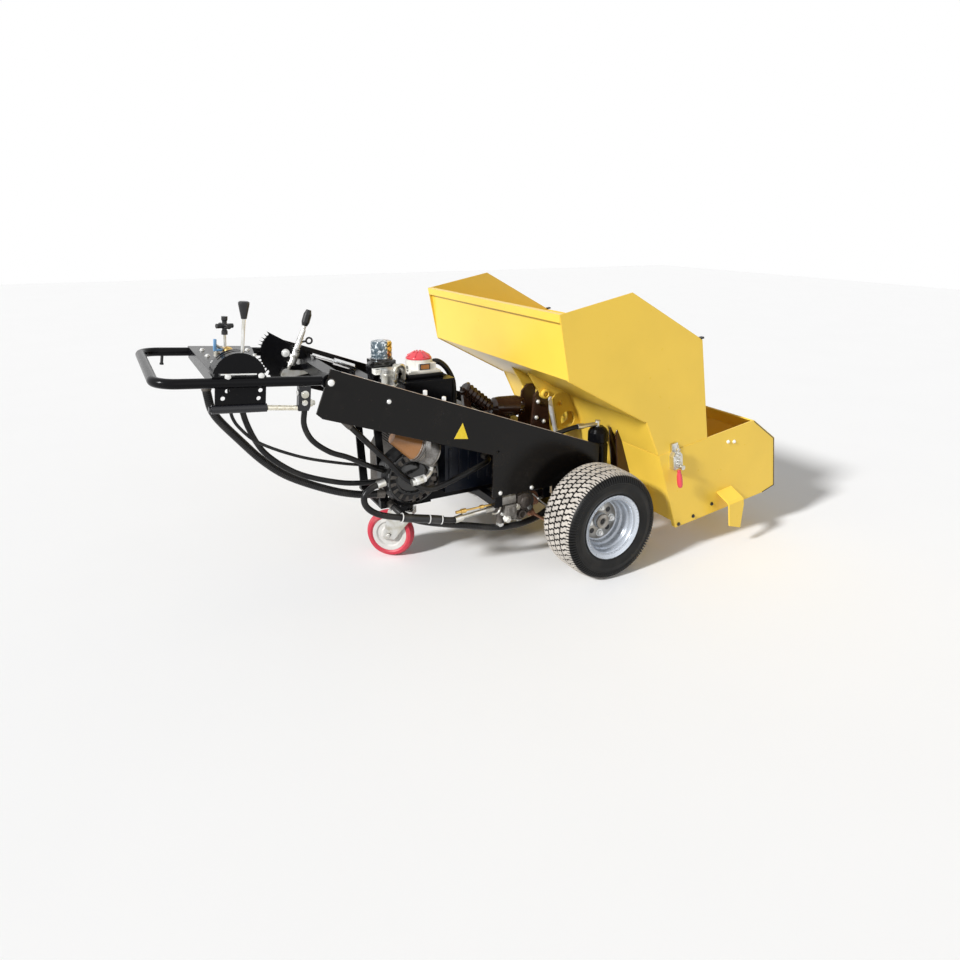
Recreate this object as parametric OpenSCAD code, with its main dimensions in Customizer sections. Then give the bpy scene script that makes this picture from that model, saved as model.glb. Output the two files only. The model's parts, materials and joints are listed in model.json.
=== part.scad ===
// Walk-behind asphalt paver on two driven wheels and one swivel caster.
// Millimetres, +Z up, +X towards the hopper, the wheel axle crosses at x = axle_x.

/* [Drive wheels] */
// Outside diameter of the drive tyres
wheel_d = 408; // [380:1:430]
// Width of the drive tyres
tyre_w = 180; // [150:1:190]
// Diameter of the rim flange
rim_d = 238; // [210:1:260]
// Distance between the middles of the two tyres
wheel_track = 910; // [900:1:980]
// Pitch circle of the four wheel bolts
lug_pcd = 100; // [90:1:120]

/* [Chassis] */
// Width over the two side plates
frame_w = 620; // [590:1:640]
// Thickness of the side plates
plate_t = 8; // [6:1:12]
// Slope of the side plates' top edge
beam_slope = 20.7; // [18:0.1:23]
// How far the side plates reach behind the axle
beam_rear = 948; // [900:1:1000]
// Depth of the side plates at their rear end
beam_depth = 138; // [120:1:160]
// Width of an angle cross bar
bar_w = 50; // [40:1:60]

/* [Handle] */
// Tube diameter of the handlebar
handle_tube_d = 30; // [25:1:34]
// How far the handlebar reaches behind its pivot
handle_reach = 488; // [440:1:560]
// Slope of the handlebar from its pivot up to its end
handle_slope = 4.4; // [0:0.1:12]
// Radius over the teeth of the height sector
sector_r = 103; // [95:1:108]
// Radius of the drum that the drive lever moves over
drum_r = 76; // [60:1:80]

/* [Caster] */
// Diameter of the caster wheel
caster_d = 186; // [170:1:200]
// Width of the caster wheel
caster_w = 48; // [38:1:54]
// Distance the caster's swivel stands behind the axle
caster_back = 588; // [560:1:620]
// Offset from the swivel to the caster wheel's axle
caster_trail = 55; // [40:1:65]

/* [Paving unit] */
// Width over the hopper and box sides
unit_w = 1020; // [960:1:1060]
// Sheet thickness of the hopper
sheet_t = 4; // [3:0.5:6]
// Plate thickness of the spreader box
box_t = 6; // [4:0.5:8]
// Height of the hopper's peak over the box bottom line
hopper_h = 955; // [900:1:990]
// Nose-up pitch of the paving unit as it is parked
unit_pitch = 7.7; // [5:0.1:10]
// Length of the spreader box
box_l = 556; // [500:1:620]
// Diameter of the lift cylinders
lift_d = 80; // [60:1:84]

/* [Hidden] */
$fn = 48;
wheel_r = wheel_d / 2;
axle_x = 285;                      // puts the bounding box's middle at x = 0
half_w = unit_w / 2;
plate_y = frame_w / 2;             // outer face of a side plate
in_y = plate_y - plate_t;          // inner face of a side plate
wheel_y = wheel_track / 2;
front_x = 100;                     // front end of the side plates
front_z = 439.5;                   // their top edge there
bot0 = 75;                         // bottom line of the box, in the unit's own frame
gap = 0.05;                        // radial running clearance
function top_z(x) = front_z + (front_x - x) * tan(beam_slope);
piv_x = -beam_rear - 3;            // handle pivot
piv_z = top_z(-beam_rear) - 41.5;
hd = handle_tube_d;
bar_y = in_y - hd / 2 - 6;         // handlebar tubes run inside the plates
sec_t = 8;
sec_y = bar_y - hd / 2 - 6 - sec_t;  // toothed sector, just inside the far tube
cas_x = -caster_back;
cas_lean = 38;                     // how far the caster is swivelled
cas_r = caster_d / 2;
cut_z = 307;                       // lower edge of the plates ahead of the engine
hinge_x = 5; hinge_z = 598;        // the paving unit's hinge
arm_y = 60; arm_t = 10;            // its two arms
pin_r = 10; motor_r = 37.5;
fork_z = caster_d + 5;             // underside of the caster fork's crown
bed_z = 262; bed_h = 30;           // rails that carry the engine
tz = bed_z + bed_h;                // their top
rail_y = 105; rail_w = 24;
rear_bar = -898; mid_bar = -720; front_bar = -330;
function bar_top(x) = top_z(x) - 45;
lift_x = 134; lift_y = in_y - lift_d / 2 - 4;

c_yellow = [0.93, 0.72, 0.10]; c_black = [0.05, 0.05, 0.05]; c_zinc = [0.72, 0.72, 0.70];
c_silver = [0.75, 0.77, 0.80]; c_tyre = [0.06, 0.06, 0.06]; c_red = [0.75, 0.05, 0.08];
c_grey = [0.75, 0.74, 0.72]; c_hose = [0.03, 0.03, 0.03]; c_brass = [0.75, 0.55, 0.20];
c_cast = [0.35, 0.34, 0.32]; c_brown = [0.40, 0.22, 0.10]; c_white = [0.85, 0.85, 0.83];
c_clear = [0.80, 0.85, 0.85, 0.4]; c_amber = [0.85, 0.5, 0.1]; c_blue = [0.08, 0.12, 0.25];

// Moves the axle's own coordinates into the row's frame.
module at(c) { color(c) translate([axle_x, 0, 0]) children(); }
// The paving unit's own frame: level box, turned nose up about the axle.
module unit() { translate([0, 0, wheel_r]) rotate([0, -unit_pitch, 0])
    translate([0, 0, -wheel_r]) children(); }
// An XZ outline as a plate from y0 to y0 + t.
module slab(pts, y0, t) { rotate([90, 0, 0]) translate([0, 0, -(y0 + t)])
    linear_extrude(t) polygon(pts); }
// The same plate on both sides of the middle, s times y0 outwards.
module slabs(pts, y0, t) { for (s = [-1, 1]) slab(pts, s > 0 ? y0 : -y0 - t, t); }
// A YZ outline drawn out along x from x0.
module bar(pts, x0, l) { translate([x0, 0, 0]) rotate([90, 0, 90]) linear_extrude(l) polygon(pts); }
module both() { children(); mirror([0, 1, 0]) children(); }
module cyl_y(r, y0, y1, x, z) { translate([x, y0, z]) rotate([-90, 0, 0]) cylinder(r = r, h = y1 - y0); }
module box(a, b) { translate(a) cube(b - a); }
// What is drawn up +Z, laid along the line from a to b.
module along(a, b) { d = b - a; translate(a) rotate([0, acos(d[2] / norm(d)), atan2(d[1],
    d[0])]) children(); }
module rod(a, b, r) { along(a, b) cylinder(r = r, h = norm(b - a)); }
// A turned piece along the line from a to b, from its list of [radius, height].
module turned(a, b, prof) { along(a, b) rotate_extrude() polygon(concat([[0, prof[0][1]]], prof,
    [[0, prof[len(prof) - 1][1]]])); }
function nrm(a, b) = let (d = b - a, l = norm(d)) [-d[1] / l, d[0] / l];
function shift(p, t) = [for (i = [0:len(p) - 1])
    let (n1 = i > 0 ? nrm(p[i - 1], p[i]) : nrm(p[0], p[1]),
         n2 = i < len(p) - 1 ? nrm(p[i], p[i + 1]) : n1)
    p[i] + (n1 + n2) * (t / (1 + n1 * n2))];
// Outline of a folded sheet that follows a line of points.
function fold(p, t) = let (q = shift(p, t)) concat(p, [for (i = [len(p) - 1:-1:0]) q[i]]);
function arc(c, r, a0, a1, n) = [for (i = [0:n]) let (a = a0 + (a1 - a0) * i / n) c + r * [cos(a),
    sin(a)]];
function mix(a, b, t) = a + (b - a) * t;
// A round tube swept along points, as one polyhedron.
function unitv(v) = v / norm(v);
function tang(p, i) = unitv(p[min(i + 1, len(p) - 1)] - p[max(i - 1, 0)]);
function frames(p, i = 0, n = undef) = i >= len(p) ? [] :
    let (t = tang(p, i), s = n == undef ? (abs(t[2]) < 0.9 ? [0, 0, 1] : [0, 1, 0]) : n,
         m = unitv(s - (s * t) * t)) concat([[m, cross(t, m)]], frames(p, i + 1, m));
module hose(p, r, k = 10) {
    f = frames(p); n = len(p);
    pts = [for (i = [0:n - 1]) for (j = [0:k - 1])
        p[i] + r * (cos(360 * j / k) * f[i][0] + sin(360 * j / k) * f[i][1])];
    sides = [for (i = [0:n - 2]) for (j = [0:k - 1]) let (a = i * k, b = a + k, q = (j + 1) % k)
        [a + j, b + j, b + q, a + q]];
    caps = [[for (j = [0:k - 1]) j], [for (j = [k - 1:-1:0]) (n - 1) * k + j]];
    polyhedron(points = pts, faces = concat(caps, sides), convexity = 6);
}

// Side plates, engine bed and cross bars of the chassis.
rear_z = top_z(-beam_rear) - beam_depth;
plate_pts = [[-beam_rear, top_z(-beam_rear)], [front_x, front_z], [front_x, 140], [-95, 140],
    [-112, cut_z], [-372, cut_z], [-372, 469], [-beam_rear - 32, rear_z - 17], [-beam_rear - 50, rear_z]];
// A side plate with the handle's pivot pin, which points inwards.
module plate(s) {
    y0 = s > 0 ? in_y : -plate_y;
    difference() {
        slab(plate_pts, y0, plate_t);
        cyl_y(motor_r + 0.5, y0 - 1, y0 + plate_t + 1, 0, wheel_r);
        cyl_y(5, y0 - 1, y0 + plate_t + 1, -352, 478);
    }
    cyl_y(pin_r, s > 0 ? sec_y - 4 : -plate_y - 7, s > 0 ? plate_y + 7 : 4 + hd / 2 - bar_y, piv_x,
    piv_z);
    cyl_y(16, s > 0 ? plate_y : -plate_y - 7, s > 0 ? plate_y + 7 : -plate_y, piv_x, piv_z);
}
module side_plate_right() at(c_black) plate(-1);
module side_plate_left() at(c_black) plate(1);
module frame_tray() at(c_black) {
    for (s = [-1, 1]) {
        box([mid_bar - 5, s * rail_y - rail_w / 2, bed_z], [-150, s * rail_y + rail_w / 2, tz]);
        slab([[mid_bar - 30, bar_top(mid_bar)], [mid_bar - 0.3, bar_top(mid_bar)], [mid_bar - 0.3, 640],
            [mid_bar + 26, tz], [mid_bar - 5, tz]], s * rail_y - 4, 8);
        for (x = [-358, -150])
            box([x, s > 0 ? in_y - 6 : -in_y, bed_z], [x + 30, s > 0 ? in_y : 6 - in_y, cut_z + 20]);
    }
    for (x = [-358, -150]) box([x, -in_y, bed_z], [x + 30, in_y, tz]);
    box([mid_bar - 5, -rail_y, bed_z], [mid_bar + 25, rail_y, bed_z + 8]);
}
// Angle bars from plate to plate; the front one carries the paving unit's hinge ears.
module angle_bar(x) bar_fold([[x, bar_top(x) - 40], [x, bar_top(x)], [x + bar_w, bar_top(x)]]);
module bar_fold(p) slab(fold(p, -6), -in_y, 2 * in_y);
module cross_members() at(c_black) {
    for (x = [rear_bar, mid_bar, front_bar]) angle_bar(x);
    box([-50, -in_y, 400], [45, in_y, 430]);
    box([45, -in_y, 300], [90, in_y, 330]);
    box([-20, -in_y, 142], [60, in_y, 154]);
}
module hinge_ears() at(c_black) for (s = [-1, 1]) {
    y1 = arm_y - arm_t / 2 - 2;
    slab([[-50, 430], [45, 430], [30, hinge_z], [18, hinge_z + 20], [-8, hinge_z + 20],
    [-34, hinge_z - 8]],
        s > 0 ? y1 - 10 : -y1, 10);
    cyl_y(pin_r, s > 0 ? y1 - 10 : -y1 - arm_t - 6, s > 0 ? y1 + arm_t + 6 : 10 - y1, hinge_x, hinge_z);
}
module caster_mount() at(c_black) {
    box([cas_x - 60, -rail_y - 12, bed_z - 8], [cas_x + 60, rail_y + 12, bed_z]);
    translate([cas_x, 0, fork_z + 6.3]) difference() {
        cylinder(r1 = 34, r2 = 44, h = bed_z - 8 - fork_z - 6.3);
        translate([0, 0, -1]) cylinder(r = 8 + gap, h = 40);
    }
}
// Hydraulic wheel motors, each with the shaft that its wheel turns on.
module wheel_motors() at(c_cast) for (s = [-1, 1]) {
    cyl_y(45, s > 0 ? in_y - 90 : -in_y, s > 0 ? in_y : -in_y + 90, 0, wheel_r);
    cyl_y(motor_r, s > 0 ? in_y - 1 : -plate_y - 40, s > 0 ? plate_y + 40 : -in_y + 1, 0, wheel_r);
    cyl_y(16, s > 0 ? plate_y : -wheel_y + 10, s > 0 ? wheel_y - 10 : -plate_y, 0, wheel_r);
}
// Petrol engine with a finned head, its starter housing and the blue pump drive.
module engine() at(c_cast) {
    slab([[-684, tz], [-500, tz], [-500, 400], [-560, 480], [-660, 480], [-684, 440]], -120, 220);
    for (i = [0:6]) box([-668, -100, 482 + i * 10], [-548, 60, 486 + i * 10]);
    box([-650, -85, 479], [-566, 45, 546]);
}
module drive_case() at(c_blue) {
    slab([[-485, tz], [-285, tz], [-285, 440], [-320, 478], [-485, 478]], -150, 300);
    for (i = [0:4]) box([-470 + i * 40, -156, 330], [-460 + i * 40, -150, 460]);
    slab([[-352, 478], [-262, 478], [-262, 500], [-272, 510], [-342, 510], [-352, 500]], -60, 120);
}
module fan_housing() at(c_black) turned([-634, -120, 395], [-634, -200, 395],
    [[104, 0], [104, 38], [92, 56], [70, 66], [66, 80], [30, 80], [26, 72], [0, 72]]);
can = [[-731, -250, 570], [-571, -250, 484]];
module muffler() at(c_brown) turned(can[0], can[1], [[20, 0], [46, 92], [46, 99.7]]);
module oil_filter() at(c_cast) {
    turned(can[0], can[1], [[50, 100], [50, 108], [45, 112], [45, 166], [34, 180]]);
    rod([-586, -250, 488], [-586, -250, 448], 17);
    box([-628, -in_y, 495], [-611, -in_y + 16, 576]);
}
module oil_tank() at(c_black) {
    box([-630, -130, 575], [-446, 130, 715]);
    box([-638, -138, 715], [-438, 138, 723]);
    for (s = [-1, 1]) slab(fold([[-610, 569], [-466, 569], [-466, 575]],
    6), s > 0 ? 130 : -in_y, in_y - 130);
}
tf = [-533, -30];
module tank_filter() at(c_white) { translate([tf[0], tf[1], 723]) cylinder(r = 50, h = 62);
    box([-560, -88, 723], [-490, -30, 775]); }
module filter_cap() at(c_red) translate([tf[0], tf[1], 785]) { cylinder(r = 52, h = 8);
    translate([0, 0, 8]) cylinder(r1 = 48, r2 = 26, h = 22);
    for (a = [0:60:300]) rotate(a) box([20, -5, 8], [49, 5, 20]); }
module sight_window() at(c_amber) box([-548, -92, 736], [-500, -88, 764]);
module clear_cup() at(c_clear) translate([-647, 50, 752]) { cylinder(r = 44, h = 84, $fn = 12);
    translate([0, 0, 84]) cylinder(r1 = 44, r2 = 30, h = 14, $fn = 12); }
module cup_block() at(c_black) { box([-692, 4, 723], [-602, 96, 752]);
    box([-692, 20, bar_top(mid_bar)], [-672, 80, 724]); }
// Air cleaner canister, its ribbed intake duct and the two feet that hold it.
module air_cleaner() at(c_brown) {
    turned([-210, 0, 552], [-66, 0, 545], [[24, 0], [38, 16], [41, 40], [41, 120], [34, 144]]);
    turned([-330, 0, 645], [-215, 0, 552], concat([[22, 0]],
        [for (i = [0:13]) [i % 2 == 0 ? 30 : 24, 6 + i * 10]], [[24, 148]]));
    slab([[front_bar, bar_top(front_bar)], [-300, bar_top(front_bar)], [-310, 636], [-342, 650]],
    -10, 20);
    slab([[-170, 400], [-110, 400], [-120, 520], [-160, 520]], -6, 12);
    bar_fold([[-180, 400], [-100, 400]]);
}
module pump_block() at(c_cast) {
    slab([[-328, 215], [-300, 200], [-215, 200], [-190, 222], [-190, 285], [-215, 298], [-328, 298]],
    -285, 60);
    cyl_y(30, -297, -225, -262, 250);
    cyl_y(20, -300, -285, -212, 240);
    for (x = [-310, -230]) translate([x, -255, 180]) cylinder(r = 15, h = 40);
    rod([-190, -255, 250], [-150, -255, 250], 24);
}
module pipe_fittings() at(c_zinc) {
    translate([-262, -255, 298]) cylinder(r = 13, h = 22);
    translate([-674, -90, bar_top(mid_bar)]) { cylinder(r = 28, h = 66); cylinder(r = 33, h = 10); }
    hose([[-587, -251, 447.7], [-587, -251, 437], [-592, -256, 428], [-604, -265, 420], [-620, -273, 414],
        [-630, -275, 412.5]], 8.5, 12);
    rod([-631.3, -275, 412], [-671, -275, 407], 13);
    rod([-329, -262, 248], [-470, -262, 236], 7); rod([-341, -262, 247], [-373, -262, 244.2], 12);
    rod([lift_x - 4, -lift_y, 495.3], [lift_x - 4, -lift_y, 519], 10);
    rod([lift_x - 4, -lift_y, 505], [lift_x - 74, -lift_y, 505], 8);
}
// Toothed sector about the handle's pivot, standing on the rear cross bar.
tooth = 8; root_r = sector_r - 15;
module toothed_sector() at(c_black) difference() {
    slab(concat([for (a = [126:tooth:222]) for (q = [[0, 1], [1.5, 0], [6.5, 0.1]])
            let (r = q[1] == 1 ? sector_r : root_r + q[1] * 15)
            [piv_x, piv_z] + r * [cos(a + q[0]), sin(a + q[0])]],
        [[piv_x, piv_z] + sector_r * [cos(231), sin(231)], [rear_bar - 0.3, piv_z - 92],
            [rear_bar - 0.3, bar_top(rear_bar)], [rear_bar + 30, bar_top(rear_bar)],
            [rear_bar + 22, bar_top(rear_bar) + 20], [-beam_rear + 33, top_z(-beam_rear) - 18]]),
        sec_y, sec_t);
    cyl_y(14, 0, 400, piv_x, piv_z);
}
lat_y = sec_y - 14;                // the latch lever stands before the sector
module latch_lever() at(c_zinc) {
    cyl_y(19, lat_y - 10, sec_y, -955, 718);
    rod([-950, lat_y, 722], [-877, lat_y, 890], 8);
    rod([-932, lat_y, 748], [-912, lat_y, 794], 13);
    slab([[-955, 732], [-870, 722], [-868, 712], [-955, 700]], lat_y - 10, 5);
}
module latch_grip() at(c_black) {
    turned([-876.6, lat_y, 891], [-857, lat_y, 950], [[10, 0], [15, 14], [15, 44], [9, 62]]);
    rod([-891.5, lat_y, 831], [-872, lat_y, 833], 4);
    translate([-862, lat_y, 834]) rotate([90, 0, 0]) rotate_extrude() translate([11,
    0]) circle(r = 3.5, $fn = 16);
}
strut_y = in_y - 87;
module gas_strut() at(c_zinc) {
    a = [rear_bar + 38, strut_y, bar_top(rear_bar) + 12]; b = [mid_bar + 20, strut_y,
    bar_top(mid_bar) + 17];
    rod(a, mix(a, b, 0.55), 7); rod(mix(a, b, 0.5), b, 13);
    for (p = [a, b]) box([p[0] - 5, strut_y - 5, bar_top(p == a ? rear_bar : mid_bar)],
        [p[0] + 5, strut_y + 5, p[2]]);
}
// Lift cylinders: one on each plate, and a middle one whose rod reaches the hopper's gusset.
eye = [78, 0, 545]; foot = [134, 0, 331];
module lift_cylinders() at(c_black) {
    both() translate([lift_x, lift_y, 0]) {
        translate([0, 0, 262]) rotate_extrude() polygon([[0, 0], [lift_d / 2, 0], [lift_d / 2, 160],
            [lift_d / 2 - 4, 164], [lift_d / 2 - 4, 170], [lift_d / 2, 174], [lift_d / 2, 210],
            [lift_d / 2 - 8, 224], [lift_d / 4, 233], [0, 233]]);
        box([-74, -20, 250], [30, in_y - lift_y, 262]);
    }
    rod(foot, mix(foot, eye, 0.28), 28);
    slab([[90, 302], [150, 302], [158, 325], [134, 345], [90, 328]], -14, 28);
}
module lift_rod() at(c_zinc) {
    rod(mix(foot, eye, 0.282), mix(foot, eye, 0.94), 12);
    cyl_y(18, -13, 13, eye[0], eye[2]);
}

// Handlebar: one bent tube, drawn flat at its pivot and turned up by its slope.
hl = handle_reach; hr = 60; seat = hd / 2 + 0.3; deck_t = 5;
module handle_frame() { translate([piv_x, 0, piv_z]) rotate([0, handle_slope, 0]) children(); }
module handlebar() at(c_black) handle_frame() {
    for (s = [-1, 1]) {
        translate([-hl + hr, s * bar_y, 0]) rotate([0, 90, 0]) cylinder(r = hd / 2, h = hl - hr - 14);
        translate([-hl + hr, s * (bar_y - hr), 0]) rotate([0, 0, s > 0 ? 90 : 180])
            rotate_extrude(angle = 90) translate([hr, 0]) circle(r = hd / 2);
        difference() {
            cyl_y(24, s > 0 ? bar_y - hd / 2 : 0.3 - in_y, s > 0 ? in_y - 0.3 : -bar_y + hd / 2, 0, 0);
            cyl_y(pin_r + gap, -400, 400, 0, 0);
        }
    }
    translate([-hl, -bar_y + hr, 0]) rotate([-90, 0, 0]) cylinder(r = hd / 2, h = 2 * (bar_y - hr));
}
// Sloping deck between the tubes, the lever drum on the right tube and the plate below it.
deck_back = -325; drum_x = -262; drum_z = seat + 12; drum_y = bar_y - 66;
module console() at(c_black) handle_frame() {
    translate([0, 0, seat]) linear_extrude(deck_t) polygon([[deck_back, bar_y], [-122, bar_y],
    [-122, sec_y - 10],
        [-184, -drum_y + 8], [deck_back, -drum_y + 8]]);
    box([deck_back - 8, -bar_y + hd / 2 + 1, seat - 34], [deck_back, bar_y - hd / 2 - 1, seat + deck_t]);
    box([deck_back - 8, -bar_y, seat], [deck_back, bar_y, seat + deck_t]);
    rim = arc([drum_x, drum_z - 15], drum_r, 12, 168, 20);
    slab(rim, -bar_y - 4, 4);
    slab(rim, -drum_y, 4);
    difference() {
        slab(fold(rim, 4), -bar_y, bar_y - drum_y);
        for (y = [-46, -22]) box([drum_x - 56, -drum_y + y + 5, drum_z + 20],
        [drum_x + 56, -drum_y + y + 15, drum_z + 90]);
    }
    for (x = [-70, 58])
        box([drum_x + x, -bar_y - 4, seat], [drum_x + x + 12, -drum_y + 4, drum_z + 1]);
    box([drum_x - 76, -bar_y - 4, seat], [drum_x + 76, -drum_y + 8, seat + 4]);
    difference() {
        box([drum_x - 68, -bar_y - 3, -64], [drum_x + 76, -bar_y + 3, -hd / 2]);
        for (p = [[-34, -24], [60, -24], [-46, -46], [55, -48]])
            cyl_y(6.5, -bar_y - 9, -bar_y + 9, drum_x + p[0], p[1]);
    }
}
deck = seat + deck_t;
module control_levers() at(c_zinc) handle_frame() {
    rod([-252, -drum_y - 36, seat + 5], [-246, -drum_y - 36, 183], 5);
    cyl_y(14, -drum_y - 48, -drum_y - 6, -252, seat + 5 + 14);
    rod([-287, -190, 92], [-289, -190, 128], 4);
    rod([-292.7, -192.6, 84.1], [-316, -197, 98], 4);
    rod([-262.9, -190, 70], [-236, -190, 70], 9);
}
module lever_knobs() at(c_black) handle_frame() {
    turned([-246, -drum_y - 36, 183.3], [-247, -drum_y - 36, 235], [[8, 0], [16, 42], [16, 48],
    [12, 51]]);
    turned([-289, -190, 128.3], [-290, -190, 182],
        [[9, 0], [9, 10], [7, 14], [7, 40], [9, 44], [9, 54]]);
    for (a = [0:90:270]) translate([-289.4, -190, 154]) rotate(a + 20) rod([5, 0, 0], [26, 0, 0], 7);
}
module control_valve() at(c_brass) handle_frame() {
    translate([-279, -190, deck]) cylinder(r = 10, h = 45);
    translate([-279, -190, 76]) sphere(r = 16);
    cyl_y(11, -188, -150, -279, 76);
}
// Electric strut below the right tube, with its rod and end block.
module tilt_strut() at(c_zinc) handle_frame() {
    rod([drum_x - 77, -bar_y, -77.5], [drum_x + 79, -bar_y, -77.5], 13);
    rod([drum_x - 84, -bar_y, -77.5], [drum_x - 77, -bar_y, -77.5], 9);
    rod([drum_x + 79, -bar_y, -78], [-70, -bar_y, -84], 8);
    slab([[-89, -92], [-58, -92], [-53, -80], [-53, -16], [-89, -16]], -bar_y - 8, 26);
}

// Drive wheels: deep silver rims with their hubs and bolts, and tyres.
rim_r = rim_d / 2; hw = tyre_w / 2; bead_r = rim_r - 17; flange_y = hw - 16;
module rim(s) translate([0, s * wheel_y, wheel_r]) rotate([s * -90, 0, 0]) {
    rotate_extrude() polygon([[28, -8], [bead_r - 5, -8], [bead_r - 5, -flange_y - 5],
    [rim_r, -flange_y - 5],
        [rim_r, -flange_y], [bead_r, -flange_y], [bead_r, flange_y], [rim_r, flange_y],
        [rim_r, flange_y + 5],
        [bead_r - 5, flange_y + 5], [bead_r - 8, flange_y - 16], [bead_r - 14, flange_y - 20],
        [bead_r - 16, 22],
        [bead_r - 24, 16], [bead_r - 26, 0], [28, 0]]);
    difference() {
        translate([0, 0, -40]) cylinder(r = lug_pcd / 2 + 14, h = 33);
        translate([0, 0, -41]) cylinder(r = 16 + gap, h = 32);
    }
    translate([0, 0, -8]) cylinder(r = 29, h = 24);
    for (i = [0:3]) rotate(45 + 90 * i) translate([lug_pcd / 2, 0, -1]) cylinder(r = 10, h = 12);
}
module rim_right() at(c_silver) rim(-1);
module rim_left() at(c_silver) rim(1);
tyre_half = [[bead_r + 0.3, 0], [bead_r + 0.3, flange_y - 0.3], [rim_r + 1.5, flange_y - 0.3],
    [rim_r + 1.5, flange_y + 7], [rim_r + 15, hw - 1], [wheel_r * 0.86, hw], [wheel_r * 0.95, hw - 12],
    [wheel_r * 0.985, hw - 36], [wheel_r, hw * 0.3]];
module tyre(s) translate([0, s * wheel_y, wheel_r]) rotate([-90, 0, 0]) rotate_extrude($fn = 72)
    polygon(concat(tyre_half, [for (i = [len(tyre_half) - 1:-1:1]) [tyre_half[i][0], -tyre_half[i][1]]]));
module tyre_right() at(c_tyre) tyre(-1);
module tyre_left() at(c_tyre) tyre(1);

// Swivel caster, turned about its stem as it stands in the photograph.
module swivelled() { translate([cas_x, 0, 0]) rotate([0, 0, -cas_lean]) children(); }
module caster_fork() at(c_zinc) swivelled() {
    translate([0, 0, fork_z]) cylinder(r = 34, h = 6);
    translate([0, 0, fork_z]) cylinder(r = 8, h = 42);
    box([-55, -caster_w / 2 - 9, fork_z], [40, caster_w / 2 + 9, fork_z + 5]);
    slabs([[-55, fork_z + 5], [40, fork_z + 5], [40, fork_z - 20], [22 - caster_trail, cas_r - 16],
        [-22 - caster_trail, cas_r - 16]], caster_w / 2 + 5, 4);
    cyl_y(6, -caster_w / 2 - 14, caster_w / 2 + 14, -caster_trail, cas_r);
}
module caster_wheel() at(c_grey) swivelled() difference() {
    union() {
        translate([-caster_trail, 0, cas_r]) rotate([-90, 0, 0]) rotate_extrude() polygon(concat(
            [[0, -caster_w / 2 + 4], [0, caster_w / 2 - 4]],
            [for (s = [1, -1]) for (q = s > 0 ? [0:4] : [4:-1:0])
            [cas_r * [0.3, 0.36, 0.5, 0.56, 0.717][q], s * (caster_w / 2 - [4, 9, 9, 4, 4][q])]]));
        cyl_y(18, -caster_w / 2 - 4.7, caster_w / 2 + 4.7, -caster_trail, cas_r);
    }
    cyl_y(6 + gap, -60, 60, -caster_trail, cas_r);
}
module caster_tread() at(c_red) swivelled() translate([-caster_trail, 0, cas_r]) rotate([-90, 0, 0])
    rotate_extrude($fn = 64) polygon([[cas_r * 0.72, -caster_w / 2 + 4], [cas_r * 0.8, -caster_w / 2],
        [cas_r - 8, -caster_w / 2 + 2], [cas_r, -6], [cas_r, 6], [cas_r - 8, caster_w / 2 - 2],
        [cas_r * 0.8, caster_w / 2], [cas_r * 0.72, caster_w / 2 - 4]]);

// Paving unit, in its own level frame.
pk = bot0 + hopper_h;
xf = 318 + box_l;                  // front of the box
iw = half_w - sheet_t;             // inner faces of the sides
box_y = iw + box_t;                // outer faces of the box's thicker sides
corner = [251, 400];               // where hopper floor and box wall meet
sill = [318, 80];                  // lower edge of the rear wall
lid = [xf - 119, 406];             // top front corner of the box sides
knee = [202, 545]; heel = [-124, 782];
tower = mix(corner, lid, 0.49);
lip = 15;                          // the rear lip, turned outwards and down
side_pts = [[-139, pk - 19], [167, pk], [485, 797], tower, corner, knee, heel];
box_pts = [corner, lid, [xf, 298], [xf, 84], [xf - 74, 72], sill];
hin = [hinge_x * cos(unit_pitch) + (hinge_z - wheel_r) * sin(unit_pitch),
    wheel_r - hinge_x * sin(unit_pitch) + (hinge_z - wheel_r) * cos(unit_pitch)];
module hopper_sides() at(c_yellow) unit() slabs(side_pts, iw, sheet_t);
module hopper_back() at(c_yellow) unit() slab(fold([[-124 - lip + sheet_t, pk - 47],
    [-124 - lip + sheet_t, pk - 19 - sheet_t], [-124, pk - 19 - sheet_t], heel, knee, corner],
    sheet_t), -iw, 2 * iw);
module tower_front() at(c_yellow) unit() slab(fold([[tower[0], 360], tower, [485, 797]],
    sheet_t), -iw, 2 * iw);
module box_sides() at(c_yellow) unit() slabs(box_pts, iw, box_t);
// Rear wall of the box, with a pocket for each tyre.
arch_in = 363; arch_d = 22;
function arch(d) = concat([[arch_in + d, 60], [arch_in + d, 212 - d]], arc([arch_in + 24, 212],
    24 - d, 170, 100, 3),
    [[441, 236 - d]], arc([464, 204], 30 - d, 80, 5, 4), [[495 - d, 84], [495 - d, 60]]);
module wall_outline() translate([-iw, 0]) square([2 * iw, norm(corner - sill) - 3]);
module pockets(d) for (s = [0, 1]) mirror([s, 0]) polygon([for (p = arch(d)) p - [0, sill[1]]]);
module box_back() at(c_yellow) unit() translate([sill[0], 0, sill[1]])
    rotate([0, -atan((sill[0] - corner[0]) / (corner[1] - sill[1])), 0]) rotate([90, 0, 90]) {
        linear_extrude(box_t) difference() { wall_outline(); pockets(4); }
        translate([0, 0, box_t]) linear_extrude(arch_d - box_t) intersection() {
            wall_outline();
            difference() { pockets(0); pockets(4); }
        }
        translate([0, 0, arch_d]) linear_extrude(4) intersection() { wall_outline(); pockets(0); }
    }
module box_front() at(c_yellow) unit() {
    slab(fold([lid, [xf, 298], [xf, 84]], -box_t), -iw, 2 * iw);
    slab(fold([[xf - box_t, 76], [xf - 240, 76], [xf - 262, 100]], -8), -iw, 2 * iw);
}
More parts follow.
